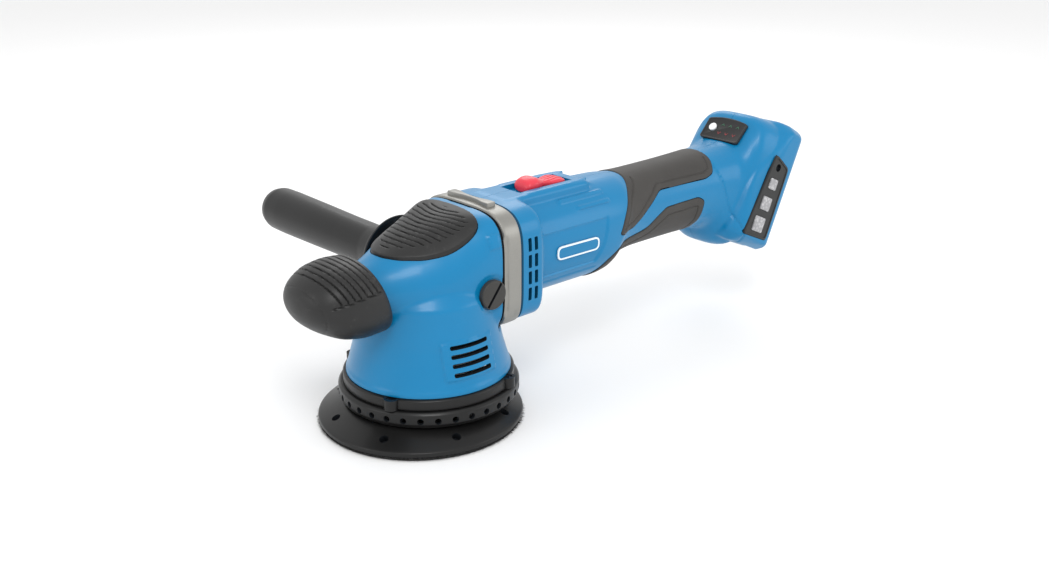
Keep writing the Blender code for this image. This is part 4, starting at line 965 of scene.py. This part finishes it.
def build_ring():
    """The metal ring with a stepped front edge, and the bow-tie bridge on its top."""
    front = ((29, -0.6), (29.25, 0.15), (29.8, 0.45), (30.6, 0.6), (35, 0.7))
    rear = ((40.4, 0.6), (41.2, 0.4), (41.7, -0.4))
    ring = skin("ring", ring_rows((*front, *rear)), "ring_grey", step=0.5, count=160)

    def detail(p, n):
        x, y, z = p.T
        low_side = inside_box(np.abs(y), z, (30, 66), (60, 112), 0.6)
        front = 1 - ease_step(x, 31.2, 31.8)
        return -0.9 * low_side * front * (n[:, 0] > -0.9)

    sculpt(ring, detail)
    combine(ring, [block("sole", (0, -60, 40), (60, 60, 55.2), "ring_grey")])
    combine(ring, [rod("bore", 25, 20, 50, (0, 0, 92), ALONG, "cast_grey", sides=96)])
    # Painted shade: the ring's front and rear edges, in the joints with the head and the flange, are painted
    # near-black.
    paint(ring, "vent_dark", lambda p: p.x < 29.15 or p.x > 41.45)
    rear_edge = [(32.4, -19), (38.6, -19), (38.6, -14), (37, -6), (36.7, 0), (37, 6), (38.6, 14), (38.6, 19)]
    front_edge = [(32.4, 19), (32.4, 14), (34.0, 6), (34.3, 0), (34.0, -6), (32.4, -14)]
    bridge = bevelled(slab("bridge", rear_edge + front_edge, 122.5, 129.8, "Z", "ring_grey"), 0.5, 3)
    for piece in (ring, bridge):
        show(shade(piece), "housing", "flange_ring", slot="grey_metal")


def build_motor_housing():
    """Barrel, flange, saddle, handle and foot as one shape, hollowed and split down the middle."""
    shell = bpy.context.scene.polisher_shell
    rows = body_rows(-4)
    flange = skin("flange", ring_rows(((38, 0), (57.5, 0), (60.4, -1.2), (61.4, -3.4))), step=1.0)
    saddle = bevelled(block("saddle", (48, -16.8, 108), (121, 16.8, 127.4)), 3.2, 3)
    cheek_outline = ((70, -14.2), (104, -14.2), (126, -10.4), (106, -9.2), (70, -9.2))
    cheeks = []
    for side in (-1, 1):
        outline = [(x, y * -side) for x, y in cheek_outline]
        cheeks.append(slab(f"cheek_{side}", outline, 118, 128.0, "Z"))
    parts = [skin("barrel", rows), foot_facets(-4), flange, saddle, *cheeks]
    housing = fused("motor_housing", parts, shell.voxel, 7, "shell_blue")

    def detail(p, n):
        x, y, z = p.T
        left = ease_step(-y, 8, 12)
        right = ease_step(y, 8, 12)
        side = np.maximum(left, right)
        rib = inside_box(x, z, (102, 113.2), (129, 114.6), 0.7) * side
        rib = np.maximum(rib, inside_box(x, z, (90, 118.2), (127, 119.6), 0.7) * side)
        arc = 121.5 + 0.34 * (z - 91) - 0.01 * (z - 91) ** 2
        recess = inside_box(x, z, (67, 77), (200, 104), 0.6) * side
        recess = recess * (1 - ease_step(x, arc - 0.7, arc + 0.3))
        line = line_groove(z, [72.6], 0.9) * inside_box(x, z, (67, 60), (116, 80), 0.5) * side
        collar = line_groove(x + (z - 96) * 0.32, [246.5], 1.0) * (1 - ease_step(x, 262, 266))
        front = 1 - ease_step(x, 42.6, 43.6)
        return 0.95 * rib - 0.9 * recess - 0.6 * line - 0.6 * collar - 1.2 * front

    sculpt(housing, detail)
    housing = combine(housing, [block("front", (0, -60, 30), (42, 60, 160), "shell_blue")])
    battery = (math.cos(FOOT_TILT), 0, -math.sin(FOOT_TILT))
    centre = foot_point(0, 0)
    trimmed(housing, (centre[0], 0, centre[1]), battery)
    inner_rows = (*body_rows()[:10], foot_row(18, 38, 4.4))
    body_hollow = skin("body_hollow", inner_rows, grow=-4.6, step=3)
    flange_hollow = skin("flange_hollow", ring_rows(((30, -2.8), (58, -2.8))), step=3)
    hollow = fused("hollow", [body_hollow, flange_hollow], 0.0025, 2, "shell_blue")
    combine(housing, [hollow])
    # Painted shade: the pockets under the grips, seen in the gaps round them, take the near-black shade
    # finish.
    for label, outline in (("upper", UPPER_GRIP_OUTLINE), ("lower", LOWER_GRIP_OUTLINE)):
        pocket = slab(f"{label}_pocket", rounded(inset(outline, -0.4), 2.5), -60, 60, "Y", "vent_dark")
        combine(pocket, [skin(f"{label}_bed", body_rows(), "vent_dark", grow=-1.8, step=3)])
        combine(housing, [pocket])
    tools = [block("switch_room", (67, -9, 124.4), (111.5, 9, 140), "shell_blue")]
    # Painted shade: the vents' walls take the darkened shell blue.
    for i in range(2):
        for j in range(4):
            x, z = 47.5 + 5 * i, 70 + 10.4 * j
            outline = rounded(((x, z), (x + 2.6, z), (x + 2.6, z + 8.2), (x, z + 8.2)), 0.7, 3)
            tools.append(slab(f"vent_{i}_{j}_left", outline, -50, -25, "Y", "recess_blue"))
            tools.append(slab(f"vent_{i}_{j}_right", outline, 25, 50, "Y", "recess_blue"))
    # Painted shade: the window pockets' walls take the near-black shade finish.
    for side in (-1, 1):
        low, high = sorted((side * 36.1, side * 60))
        outline = rounded(inset(WINDOW_OUTLINE, -0.3), 3)
        tools.append(slab(f"window_pocket_{side}", outline, low, high, "Y", "vent_dark"))
    combine(housing, tools)
    # Painted shade: the panel pocket's walls take the near-black shade finish.
    combine(housing, [panel_slab("panel_pocket", 0.35, -2.0, 30, "vent_dark")])
    # Painted shade: the stem slot's walls take the darkened shell blue.
    combine(housing, [block("stem_slot", (77, -3.6, 112), (98, 3.6, 126), "recess_blue")])
    # Painted shade: the battery recess's walls take the darkened shell blue.
    combine(housing, [foot_block("battery_recess", (-20, 13), (-60, 36), (-29, 29), "recess_blue")])
    # Painted shade: the screw holes' walls take the near-black shade finish.
    screws = []
    for x, z in CLAMP_SCREW_PLACES:
        screws.append(rod(f"screw_way_{x}", 2.9, 14, 60, (x, 0, z), RIGHTWARD, "vent_dark"))
    combine(housing, screws)
    combine(housing, [bell("skirt_clearance", 0.6, 60, 12, "shell_blue")])
    # Painted shade: the housing's front face, inside the ring, is painted near-black.
    paint(housing, "vent_dark", lambda p: p.x < 43.2)
    right = copy_of(housing, "motor_housing_right_shell")
    housing.name = "motor_housing_left_shell"
    combine(housing, [block("left_split", (30, -0.12, 20), (380, 80, 180), "shell_blue")])
    combine(right, [block("right_split", (30, -80, 20), (380, 0.12, 180), "shell_blue")])
    show(shade(housing), "housing", "motor_housing_left", slot="blue")
    show(shade(right), "housing", "motor_housing_right", slot="blue")


def foot_block(name, depths, heights, widths, *finishes):
    """A box square to the battery face."""
    low, high = (-depths[1], widths[0], heights[0]), (-depths[0], widths[1], heights[1])
    made = block(name, low, high, *finishes)
    turn = Matrix.Rotation(FOOT_TILT, 4, "Y")
    return moved(made, Matrix.Translation((FOOT_CENTRE[0] * MM, 0, FOOT_CENTRE[1] * MM)) @ turn)


def layer(name, outline, low, high, *finishes):
    """The layer between two growths of the body, inside an outline seen from the side."""
    made = slab(name, outline, -60, 60, "Y", *finishes)
    combine(made, [skin(f"{name}_outer", body_rows(), *finishes, grow=high, step=2.5)], "INTERSECT")
    return combine(made, [skin(f"{name}_core", body_rows(), *finishes, grow=low, step=2.5)])


def build_grips():
    """The two soft grips, each with a line moulded round it."""
    proud = bpy.context.scene.polisher_grips.proud / MM
    for label, outline in (("upper_grip", UPPER_GRIP_OUTLINE), ("lower_grip", LOWER_GRIP_OUTLINE)):
        grip = layer(f"{label}_layer", rounded(outline, 2.5), -1.4, proud)
        grip = fused(f"{label}_skin", [grip], 0.00065, 3, "handle_rubber")
        inner = inset(outline, 4.2 if label == "upper_grip" else 6.0)

        def detail(p, n, inner=inner):
            x, y, z = p.T
            line = line_groove(distance_to(inner, x, z), [0], 0.8) * (np.abs(y) > 12)
            return -0.75 * line

        sculpt(grip, detail)
        show(shade(grip, 60), "housing", label, slot="rubber")


def build_badge():
    """A blank raised label: a white line round a blue oval."""
    height = bpy.context.scene.polisher_shell.badge_height / MM
    rim_outline = rounded(BADGE_OUTLINE, 5, 8)
    rim = layer("badge_rim", rim_outline, -0.5, height, "badge_white")
    hole_outline = rounded(inset(BADGE_OUTLINE, 1.0), 4.2, 8)
    combine(rim, [slab("badge_hole", hole_outline, -60, 60, "Y", "badge_white")])
    face_outline = rounded(inset(BADGE_OUTLINE, 1.05), 4.2, 8)
    face = layer("badge_face", face_outline, -0.5, height - 0.25, "shell_blue")
    for piece, slot in ((rim, "white"), (face, "blue")):
        combine(piece, [block(f"{piece.name}_far", (50, 0, 40), (130, 60, 120), "badge_white")])
        show(shade(piece), "housing", "badge", slot=slot)


def panel_matrix():
    """Carries X across the tool, Y up the slope and Z out of the panel's face."""
    up = (PANEL_HIGH - PANEL_LOW).normalized()
    across = Vector((0, -1, 0))
    turn = Matrix((across, up, across.cross(up))).transposed().to_4x4()
    return Matrix.Translation((PANEL_HIGH + PANEL_LOW) / 2) @ turn


def panel_outline(grow):
    half = (PANEL_HIGH - PANEL_LOW).length / 2 / MM
    top = [(a, half - 0.008 * a * a) for a in np.linspace(17.4, -17.4, 13)]
    corners = [(-17.0, -half), (17.0, -half), *[(float(a), float(b)) for a, b in top]]
    return rounded(inset(corners, -grow), 1.8, 4)


def panel_slab(name, grow, low, high, *finishes):
    return moved(slab(name, panel_outline(grow), low, high, "Z", *finishes), panel_matrix())


def build_controls():
    """The smoked control panel with a white button and six small lights."""
    panel = panel_slab("control_panel_face", 0, -1.6, 0.35, "panel_smoke")
    tray = slab("tray", [(a * 0.93, b * 0.9) for a, b in panel_outline(0)], 0.12, 3, "Z", "panel_smoke")
    combine(panel, [moved(tray, panel_matrix())])
    # Painted shade: the button hole's walls take the near-black shade finish.
    hole = rod("hole", 3.3, -12, 10, (BUTTON_PLACE, 0, 0), UP, "vent_dark", sides=48)
    combine(panel, [moved(hole, panel_matrix())])
    show(bevelled(panel, 0.14, 2), "housing", "control_panel", slot="black")
    button = rod("button_cap", 3.0, -0.6, 1.2, ORIGIN, UP, "button_white", sides=64)
    moved(button, Matrix.Translation((BUTTON_PLACE * MM, 0, 0)))
    moved(button, panel_matrix())
    show(bevelled(button, 0.35, 3), "button", "speed_button", slot="white")
    marks = {"mark_green": [], "mark_red": []}
    for i in range(3):
        for finish, height, turn in (("mark_green", 3.0, 0), ("mark_red", -3.4, math.pi)):
            a = -2.5 + 6.6 * i
            shape = [(-1.3, -0.8), (0, 0.9), (1.3, -0.8), (1.3, -0.3), (0, 1.4), (-1.3, -0.3)]
            made = slab(f"{finish}_{i}", shape, 0.05, 0.24, "Z", finish)
            place = Matrix.Translation((a * MM, height * MM, 0)) @ Matrix.Rotation(turn, 4, "Z")
            moved(made, panel_matrix() @ place)
            marks[finish].append(made)
    for finish, pieces in marks.items():
        show(gathered(f"{finish}s", pieces), "housing", slot="lens")


def lens_outline(x, z, half, grow=0.0):
    wide, tall = half * 1.1 + grow, half + grow
    forward, rise = math.cos(FOOT_TILT), math.sin(FOOT_TILT)
    corners = ((wide, tall), (-wide, tall), (-wide, -tall), (wide, -tall))
    return [(x + a * forward + b * rise, z - a * rise + b * forward) for a, b in corners]


def build_windows():
    """A dark frame with a round opening and three milky lenses on each side of the foot."""
    for label, side in (("left", -1), ("right", 1)):
        low, high = sorted((side * 36.4, side * 38.5))
        rim = slab(f"window_{label}", rounded(WINDOW_OUTLINE, 3, 6), low, high, "Y", "window_black")
        rim = bevelled(rim, 0.4, 2)
        tray_low, tray_high = sorted((side * 38.0, side * 50))
        tray_outline = rounded(inset(WINDOW_OUTLINE, 1.3), 2.4, 6)
        combine(rim, [slab("tray", tray_outline, tray_low, tray_high, "Y", "window_black")])
        tools = []
        for i, (x, z, half) in enumerate(LENS_PLACES):
            hole_outline = rounded(lens_outline(x, z, half), 1.5, 5)
            tools.append(slab(f"hole_{i}", hole_outline, -60, 60, "Y", "window_black"))
            outline = rounded(lens_outline(x, z, half, -0.2), 1.4, 5)
            lens_low, lens_high = sorted((side * 36.4, side * 38.9))
            lens = slab(f"lens_{label}_cap_{i + 1}", outline, lens_low, lens_high, "Y", "lens_milky")
            show(bevelled(lens, 0.6, 4), "housing", f"lens_{label}_{i + 1}", slot="lens")
        # Painted shade: the round hole's walls take the near-black shade finish.
        tools.append(rod("round_hole", 2.8, -60, 60, (290.5, 0, 108.6), RIGHTWARD, "vent_dark", sides=48))
        combine(rim, tools)
        show(shade(rim), "housing", f"window_frame_{label}", slot="black")


def build_shroud():
    """The vented shroud and the flange that screws it to the head."""
    count = bpy.context.scene.polisher_drive.shroud_holes
    outer = ((48.3, 23.5), (53.8, 23.5), (55.3, 21.9), (55.3, 16.2), (53.9, 13.8))
    profile = soft_profile((*outer, (52.3, 13.8), (52.3, 21.1), (48.3, 21.1)), 0.6)
    shroud = turned("shroud", profile, ORIGIN, UP, "plate_black", steps=180, closed=True)
    # Painted shade: the vent holes' walls take the near-black shade finish.
    holes = []
    for i in range(count):
        angle = 2 * math.pi * (i + 0.43) / count
        out = (math.cos(angle), math.sin(angle), 0)
        holes.append(rod(f"hole_{i}", 1.95, 49.5, 60, (0, 0, 18.4), out, "vent_dark", sides=20))
    combine(shroud, holes)
    show(shade(shroud, 30), "housing", "vent_shroud", slot="black")
    profile = soft_profile(((43, 30.2), (51.2, 30.2), (52.2, 29.4), (52.2, 23.8), (43, 23.8)), 0.5)
    flange = turned("shroud_band", profile, ORIGIN, UP, "plate_black", steps=160, closed=True)
    lugs, ways = [], []
    for i in range(4):
        node = f"shroud_screw_{i + 1}"
        low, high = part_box(node)
        centre = (low + high) / 2 / MM
        foot, top = (centre.x, centre.y, 0), high.z / MM
        lugs.append(rod(f"lug_{i}", 4.5, 23.8, 30.2, foot, UP, "plate_black", sides=48))
        # Painted shade: the screw ways' walls take the near-black shade finish.
        ways.append(rod(f"way_{i}", 3.1, 29.2, 40, foot, UP, "vent_dark", sides=32))
        ways.append(rod(f"shank_way_{i}", 1.9, 10, 29.1, foot, UP, "vent_dark", sides=24))
        screw = rod(f"{node}_head", 2.8, top - 2.2, top, foot, UP, "dark_steel", sides=32)
        shank = rod("shank", 1.6, low.z / MM, top - 1, foot, UP, "dark_steel", sides=20)
        combine(screw, [shank], "UNION")
        for long, wide in ((1.7, 0.35), (0.35, 1.7)):
            low_corner = (centre.x - long, centre.y - wide, top - 1.2)
            high_corner = (centre.x + long, centre.y + wide, 60)
            combine(screw, [block("cross", low_corner, high_corner, "dark_steel")])
        show(shade(screw), "housing", node, slot="steel")
    for lug in lugs:
        combine(flange, [lug], "UNION")
    for way in ways:
        combine(flange, [way])
    show(shade(flange, 30), "housing", "shroud_flange", slot="black")


def build_plate():
    """The backing plate, its hook face and the fibres that show round the edge."""
    drive = bpy.context.scene.polisher_drive
    low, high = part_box("hook_face")
    middle = (low + high) / 2 / MM
    centre = (middle.x, middle.y, 0)
    profile = (
        (0, 21), (14, 21), (15, 12.9), (44, 12.6), (46.5, 12.2), (61.0, 5.6), (62.2, 4.9), (62.5, 4.2),
        (62.5, 2.5), (61.7, 1.9), (0, 1.9),
    )
    plate = turned("plate", soft_profile(profile, 0.9, 4, False), centre, UP, "plate_black", steps=200)
    combine(plate, [rod("stud_seat", 5.1, 6, 30, centre, UP, "plate_black", sides=48)])
    # Painted shade: the plate holes' walls take the near-black shade finish.
    holes = []
    for i in range(drive.plate_holes):
        angle = 2 * math.pi * (i + 0.5) / drive.plate_holes + math.radians(187)
        out = Vector((math.cos(angle), math.sin(angle), 0))
        at = Vector(centre) + out * 54.25 + Vector((0, 0, 8.5))
        normal = (out * 7.8 + Vector((0, 0, 16.5))).normalized()
        holes.append(rod(f"plate_hole_{i}", 2.75, -5, 6, at, normal, "vent_dark", sides=32))
    combine(plate, holes)
    show(shade(plate, 30), "plate", "backing_plate", slot="black")
    face = rod("hook_disc", 61.5, 0, 1.6, centre, UP, "hook_fabric", sides=160)
    show(bevelled(face, 0.3, 2), "plate", "hook_face", slot="hook")
    build_fringe(Vector(centre), drive.fibres)


def build_fringe(centre, count):
    """Short loose fibres round the hook face's edge, each a thin spike."""
    bm = bmesh.new()
    for i in range(count):
        angle = i * GOLDEN_ANGLE
        wobble = math.sin(i * 12.9898) * 43758.5453
        wobble -= math.floor(wobble)
        height = 0.35 + 1.0 * wobble
        out = Vector((math.cos(angle), math.sin(angle), 0))
        across = Vector((-out.y, out.x, 0))
        root = centre + out * 61.2 + Vector((0, 0, height))
        tip = root + out * (1.7 + 1.5 * wobble) + across * (wobble - 0.5) * 1.6
        tip += Vector((0, 0, 0.3 * (0.5 - wobble)))
        corners = [root + across * 0.16, root - across * 0.16, root + Vector((0, 0, 0.26))]
        base = [bm.verts.new(corner * MM) for corner in corners]
        end = bm.verts.new(tip * MM)
        bm.faces.new(base)
        for a, b in ((0, 1), (1, 2), (2, 0)):
            bm.faces.new((base[a], base[b], end))
    show(from_bmesh("hook_fringe", bm, "hook_fabric"), "plate", slot="hook")


def build_side_handle():
    """The auxiliary handle with its cupped collar."""
    profile = (
        (0, 201), (9, 200.4), (13.4, 197.8), (15.2, 192), (15.4, 178), (14.9, 140), (14.3, 107), (14.2, 78),
        (15.4, 68), (19.6, 60.5), (25.4, 54.6), (27, 53.2), (27, 52.2), (26, 51.9), (20, 54.2), (14.5, 56.4),
        (13.2, 55.4), (13.2, 47), (0, 47),
    )
    profile = soft_profile(profile, 1.6, 5, False)
    handle = turned("auxiliary_handle", profile, SIDE_SEAT, RIGHTWARD, "side_handle_black", steps=128)
    # Painted shade: the socket's walls take the near-black shade finish.
    combine(handle, [rod("socket", 5.3, 0, 87, SIDE_SEAT, RIGHTWARD, "vent_dark", sides=48)])
    show(shade(handle, 40), "housing", "side_handle", slot="rubber")


def build_plug():
    """The slotted plug that closes the handle's other place."""
    profile = ((0, 41.6), (8.2, 41.6), (9, 40.8), (9, 37.8), (5, 37.8), (5, 29), (0, 29))
    profile = soft_profile(profile, 0.5, 4, False)
    plug = turned("side_plug", profile, SIDE_SEAT, LEFTWARD, "plug_grey", steps=96)
    # Painted shade: the plug's slot takes the near-black shade finish.
    slot = block("slot", (-0.9, -50, -8.2), (0.9, -40.0, 8.2), "vent_dark")
    turn = Matrix.Translation(Vector(SIDE_SEAT) * MM) @ Matrix.Rotation(math.radians(38), 4, "Y")
    combine(plug, [moved(slot, turn)])
    show(shade(plug, 30), "housing", "blanking_plug", slot="black")


def build_switch():
    """The red slide switch: a high front lobe, a waist and a grooved rear lobe."""
    rows = (
        (75, 127.6, 75, 124.9, 3.2, 2.2, 2.2), (75.5, 129.4, 75.5, 124.8, 5.4, 2.2, 2.4),
        (78, 132.0, 78, 124.8, 7.4, 2.3, 3.0), (83, 133.2, 83, 124.8, 8.0, 2.4, 3.0),
        (88, 131.6, 88, 124.8, 6.6, 2.4, 3.0), (92, 129.6, 92, 124.8, 4.6, 2.6, 3.0),
        (97, 129.4, 97, 124.8, 6.6, 2.8, 3.0), (102, 129.8, 102, 124.8, 7.8, 2.8, 3.0),
        (107, 129.0, 107, 124.8, 6.6, 2.6, 3.0), (109.6, 127.4, 109.6, 124.9, 3.6, 2.2, 2.4),
        (110, 126.4, 110, 125.2, 1.2, 2.0, 2.0),
    )
    switch = skin("switch_button", rows, "switch_red", step=0.35, count=128)

    def detail(p, n):
        x, y, _ = p.T
        rear = inside_box(x, y, (94.5, -6), (108.5, 6), 0.6) * (n[:, 2] > 0.5)
        return -0.5 * line_groove(y, [-4.2, -1.4, 1.4, 4.2], 0.7) * rear

    sculpt(switch, detail)
    stem = block("stem", (83.6, -3.2, 118.7), (97.4, 3.2, 126), "switch_red")
    combine(switch, [stem], "UNION")
    show(shade(switch, 40), "switch", "slide_switch", slot="red")


def build_clamp_screws():
    """The steel screws that close the housing."""
    for i in range(4):
        node = f"housing_screw_{i + 1}"
        low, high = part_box(node)
        middle = (low + high) / 2 / MM
        top = high.y / MM
        tip = low.y / MM
        profile = ((0, top), (2.0, top), (2.6, top - 0.7), (2.6, 14.3), (1.6, 14.3), (1.6, tip), (0, tip))
        seat = (middle.x, 0, middle.z)
        screw = turned(f"{node}_turned", profile, seat, RIGHTWARD, "turned_steel", steps=48)
        star = [(1.5 * math.cos(a) * (1 if k % 2 else 0.7), 1.5 * math.sin(a) * (1 if k % 2 else 0.7))
                for k, a in enumerate(np.arange(12) * math.pi / 6)]
        outline = [(middle.x + a, middle.z + b) for a, b in star]
        combine(screw, [slab("star", outline, top - 1.2, top + 4, "Y", "dark_steel")])
        show(shade(screw, 30), "housing", node, slot="steel")


NODE_FINISHES = {
    "black": "black_moulding",
    "rubber": "handle_rubber",
    "grey_metal": "cast_grey",
    "steel": "turned_steel",
    "winding": "winding",
    "contact": "contact_brass",
    "blue": "shell_blue",
    "red": "switch_red",
    "white": "button_white",
    "lens": "lens_milky",
    "hook": "hook_fabric",
}


def finish_inner_parts():
    """Gives every CAD part that is kept its own procedural finish."""
    slots = {}
    for entry in frame["record"]["subparts"]:
        slots[entry["node"]] = entry["material_slot"]
    for name, obj in frame["nodes"].items():
        if obj.hide_render:
            continue
        finish = NODE_FINISHES.get(slots.get(name), "turned_steel")
        obj.data.materials.clear()
        obj.data.materials.append(finish_named(finish))


def build_stage():
    """The floor, the lights, the world and the camera."""
    stage = bpy.context.scene.polisher_stage
    bm = bmesh.new()
    bmesh.ops.create_grid(bm, x_segments=2, y_segments=2, size=14)
    floor = from_bmesh("floor", bm, "floor_pale")
    floor.location.z = -0.2 * MM
    bpy.context.scene.view_settings.view_transform = "Standard"
    world = bpy.data.worlds.new("studio")
    bpy.context.scene.world = world
    world.use_nodes = True
    background = world.node_tree.nodes["Background"]
    background.inputs["Color"].default_value = (1, 1, 1, 1)
    background.inputs["Strength"].default_value = 0.98 * stage.brightness
    target = Vector((0.09, 0.0, 0.08))
    lights = (
        ("key", (-0.55, -0.75, 1.15), 0.5, 7.0),
        ("fill", (-1.1, 0.25, 0.55), 0.5, 1.6),
        ("back", (0.75, 0.85, 0.95), 0.7, 4.0),
        ("side", (0.75, -0.85, 0.45), 0.5, 1.6),
    )
    for name, place, size, power in lights:
        data = bpy.data.lights.new(name, "AREA")
        data.energy = power * stage.brightness
        data.size = size
        light = bpy.data.objects.new(name, data)
        bpy.context.scene.collection.objects.link(light)
        light.location = place
        light.rotation_euler = (target - Vector(place)).to_track_quat("-Z", "Y").to_euler()
    data = bpy.data.cameras.new("camera")
    data.sensor_width = 36
    data.lens = 41.18
    data.clip_start = 0.01
    data.dof.use_dof = False
    camera = bpy.data.objects.new("camera", data)
    bpy.context.scene.collection.objects.link(camera)
    camera.location = (-0.40557, -0.53623, 0.33367)
    forward = Vector((0.6272, 0.6942, -0.3531))
    camera.rotation_euler = forward.to_track_quat("-Z", "Y").to_euler()
    bpy.context.scene.camera = camera


# ----------------------------------------------------------------- operators


class PolisherOperator:
    """What the add-on's operators share: each runs one building function."""

    bl_options = {"REGISTER", "UNDO"}
    build = None

    def execute(self, context):
        type(self).build()
        return {"FINISHED"}


class POLISHER_OT_head(PolisherOperator, bpy.types.Operator):
    """Build the blue head with its skirt and vents"""

    bl_idname = "polisher.head"
    bl_label = "Head"
    build = staticmethod(build_head)


class POLISHER_OT_nose(PolisherOperator, bpy.types.Operator):
    """Build the soft nose"""

    bl_idname = "polisher.nose"
    bl_label = "Nose"
    build = staticmethod(build_nose)


class POLISHER_OT_palm_pad(PolisherOperator, bpy.types.Operator):
    """Build the ribbed palm pad"""

    bl_idname = "polisher.palm_pad"
    bl_label = "Palm pad"
    build = staticmethod(build_palm_pad)


class POLISHER_OT_ring(PolisherOperator, bpy.types.Operator):
    """Build the metal ring and its bridge"""

    bl_idname = "polisher.ring"
    bl_label = "Metal ring"
    build = staticmethod(build_ring)


class POLISHER_OT_motor_housing(PolisherOperator, bpy.types.Operator):
    """Build both halves of the motor housing"""

    bl_idname = "polisher.motor_housing"
    bl_label = "Motor housing"
    build = staticmethod(build_motor_housing)


class POLISHER_OT_grips(PolisherOperator, bpy.types.Operator):
    """Build the handle's two soft grips"""

    bl_idname = "polisher.grips"
    bl_label = "Handle grips"
    build = staticmethod(build_grips)


class POLISHER_OT_badge(PolisherOperator, bpy.types.Operator):
    """Build the blank badge on the barrel"""

    bl_idname = "polisher.badge"
    bl_label = "Badge"
    build = staticmethod(build_badge)


class POLISHER_OT_controls(PolisherOperator, bpy.types.Operator):
    """Build the control panel, its button and its lights"""

    bl_idname = "polisher.controls"
    bl_label = "Control panel"
    build = staticmethod(build_controls)


class POLISHER_OT_windows(PolisherOperator, bpy.types.Operator):
    """Build the window frames and lenses on the foot"""

    bl_idname = "polisher.windows"
    bl_label = "Windows"
    build = staticmethod(build_windows)


class POLISHER_OT_shroud(PolisherOperator, bpy.types.Operator):
    """Build the vented shroud, its flange and screws"""

    bl_idname = "polisher.shroud"
    bl_label = "Shroud"
    build = staticmethod(build_shroud)


class POLISHER_OT_plate(PolisherOperator, bpy.types.Operator):
    """Build the backing plate and its hook face"""

    bl_idname = "polisher.plate"
    bl_label = "Backing plate"
    build = staticmethod(build_plate)


class POLISHER_OT_side_handle(PolisherOperator, bpy.types.Operator):
    """Build the auxiliary handle"""

    bl_idname = "polisher.side_handle"
    bl_label = "Side handle"
    build = staticmethod(build_side_handle)


class POLISHER_OT_plug(PolisherOperator, bpy.types.Operator):
    """Build the slotted plug"""

    bl_idname = "polisher.plug"
    bl_label = "Plug"
    build = staticmethod(build_plug)


class POLISHER_OT_switch(PolisherOperator, bpy.types.Operator):
    """Build the red slide switch"""

    bl_idname = "polisher.switch"
    bl_label = "Switch"
    build = staticmethod(build_switch)


class POLISHER_OT_clamp_screws(PolisherOperator, bpy.types.Operator):
    """Build the screws that close the housing"""

    bl_idname = "polisher.clamp_screws"
    bl_label = "Housing screws"
    build = staticmethod(build_clamp_screws)


class POLISHER_OT_inner_parts(PolisherOperator, bpy.types.Operator):
    """Give the parts inside their finishes"""

    bl_idname = "polisher.inner_parts"
    bl_label = "Inner parts"
    build = staticmethod(finish_inner_parts)


class POLISHER_OT_stage(PolisherOperator, bpy.types.Operator):
    """Add the floor, the lights and the camera"""

    bl_idname = "polisher.stage"
    bl_label = "Stage"
    build = staticmethod(build_stage)


OPERATORS = (
    POLISHER_OT_head,
    POLISHER_OT_nose,
    POLISHER_OT_palm_pad,
    POLISHER_OT_ring,
    POLISHER_OT_motor_housing,
    POLISHER_OT_grips,
    POLISHER_OT_badge,
    POLISHER_OT_controls,
    POLISHER_OT_windows,
    POLISHER_OT_shroud,
    POLISHER_OT_plate,
    POLISHER_OT_side_handle,
    POLISHER_OT_plug,
    POLISHER_OT_switch,
    POLISHER_OT_clamp_screws,
    POLISHER_OT_inner_parts,
    POLISHER_OT_stage,
)


class POLISHER_PT_sidebar(bpy.types.Panel):
    """Lists the polisher's settings and its pieces"""

    bl_label = "Dual Action Polisher"
    bl_idname = "POLISHER_PT_sidebar"
    bl_space_type = "VIEW_3D"
    bl_region_type = "UI"
    bl_category = "Polisher"

    def draw(self, context):
        scene = context.scene
        for group in SETTINGS:
            settings = getattr(scene, group)
            box = self.layout.box()
            for name in settings.__annotations__:
                box.prop(settings, name)
        column = self.layout.column(align=True)
        for operator in OPERATORS:
            column.operator(operator.bl_idname)


SETTINGS = {
    "polisher_shell": ShellSettings,
    "polisher_grips": GripSettings,
    "polisher_drive": DriveSettings,
    "polisher_stage": StageSettings,
}


def register():
    for settings in SETTINGS.values():
        bpy.utils.register_class(settings)
    for name, settings in SETTINGS.items():
        setattr(bpy.types.Scene, name, bpy.props.PointerProperty(type=settings))
    for operator in OPERATORS:
        bpy.utils.register_class(operator)
    bpy.utils.register_class(POLISHER_PT_sidebar)


def unregister():
    bpy.utils.unregister_class(POLISHER_PT_sidebar)
    for operator in reversed(OPERATORS):
        bpy.utils.unregister_class(operator)
    for name, settings in SETTINGS.items():
        delattr(bpy.types.Scene, name)
        bpy.utils.unregister_class(settings)


def main():
    register()
    for operator in OPERATORS:
        group, name = operator.bl_idname.split(".")
        getattr(getattr(bpy.ops, group), name)()


if __name__ == "__main__":
    main()
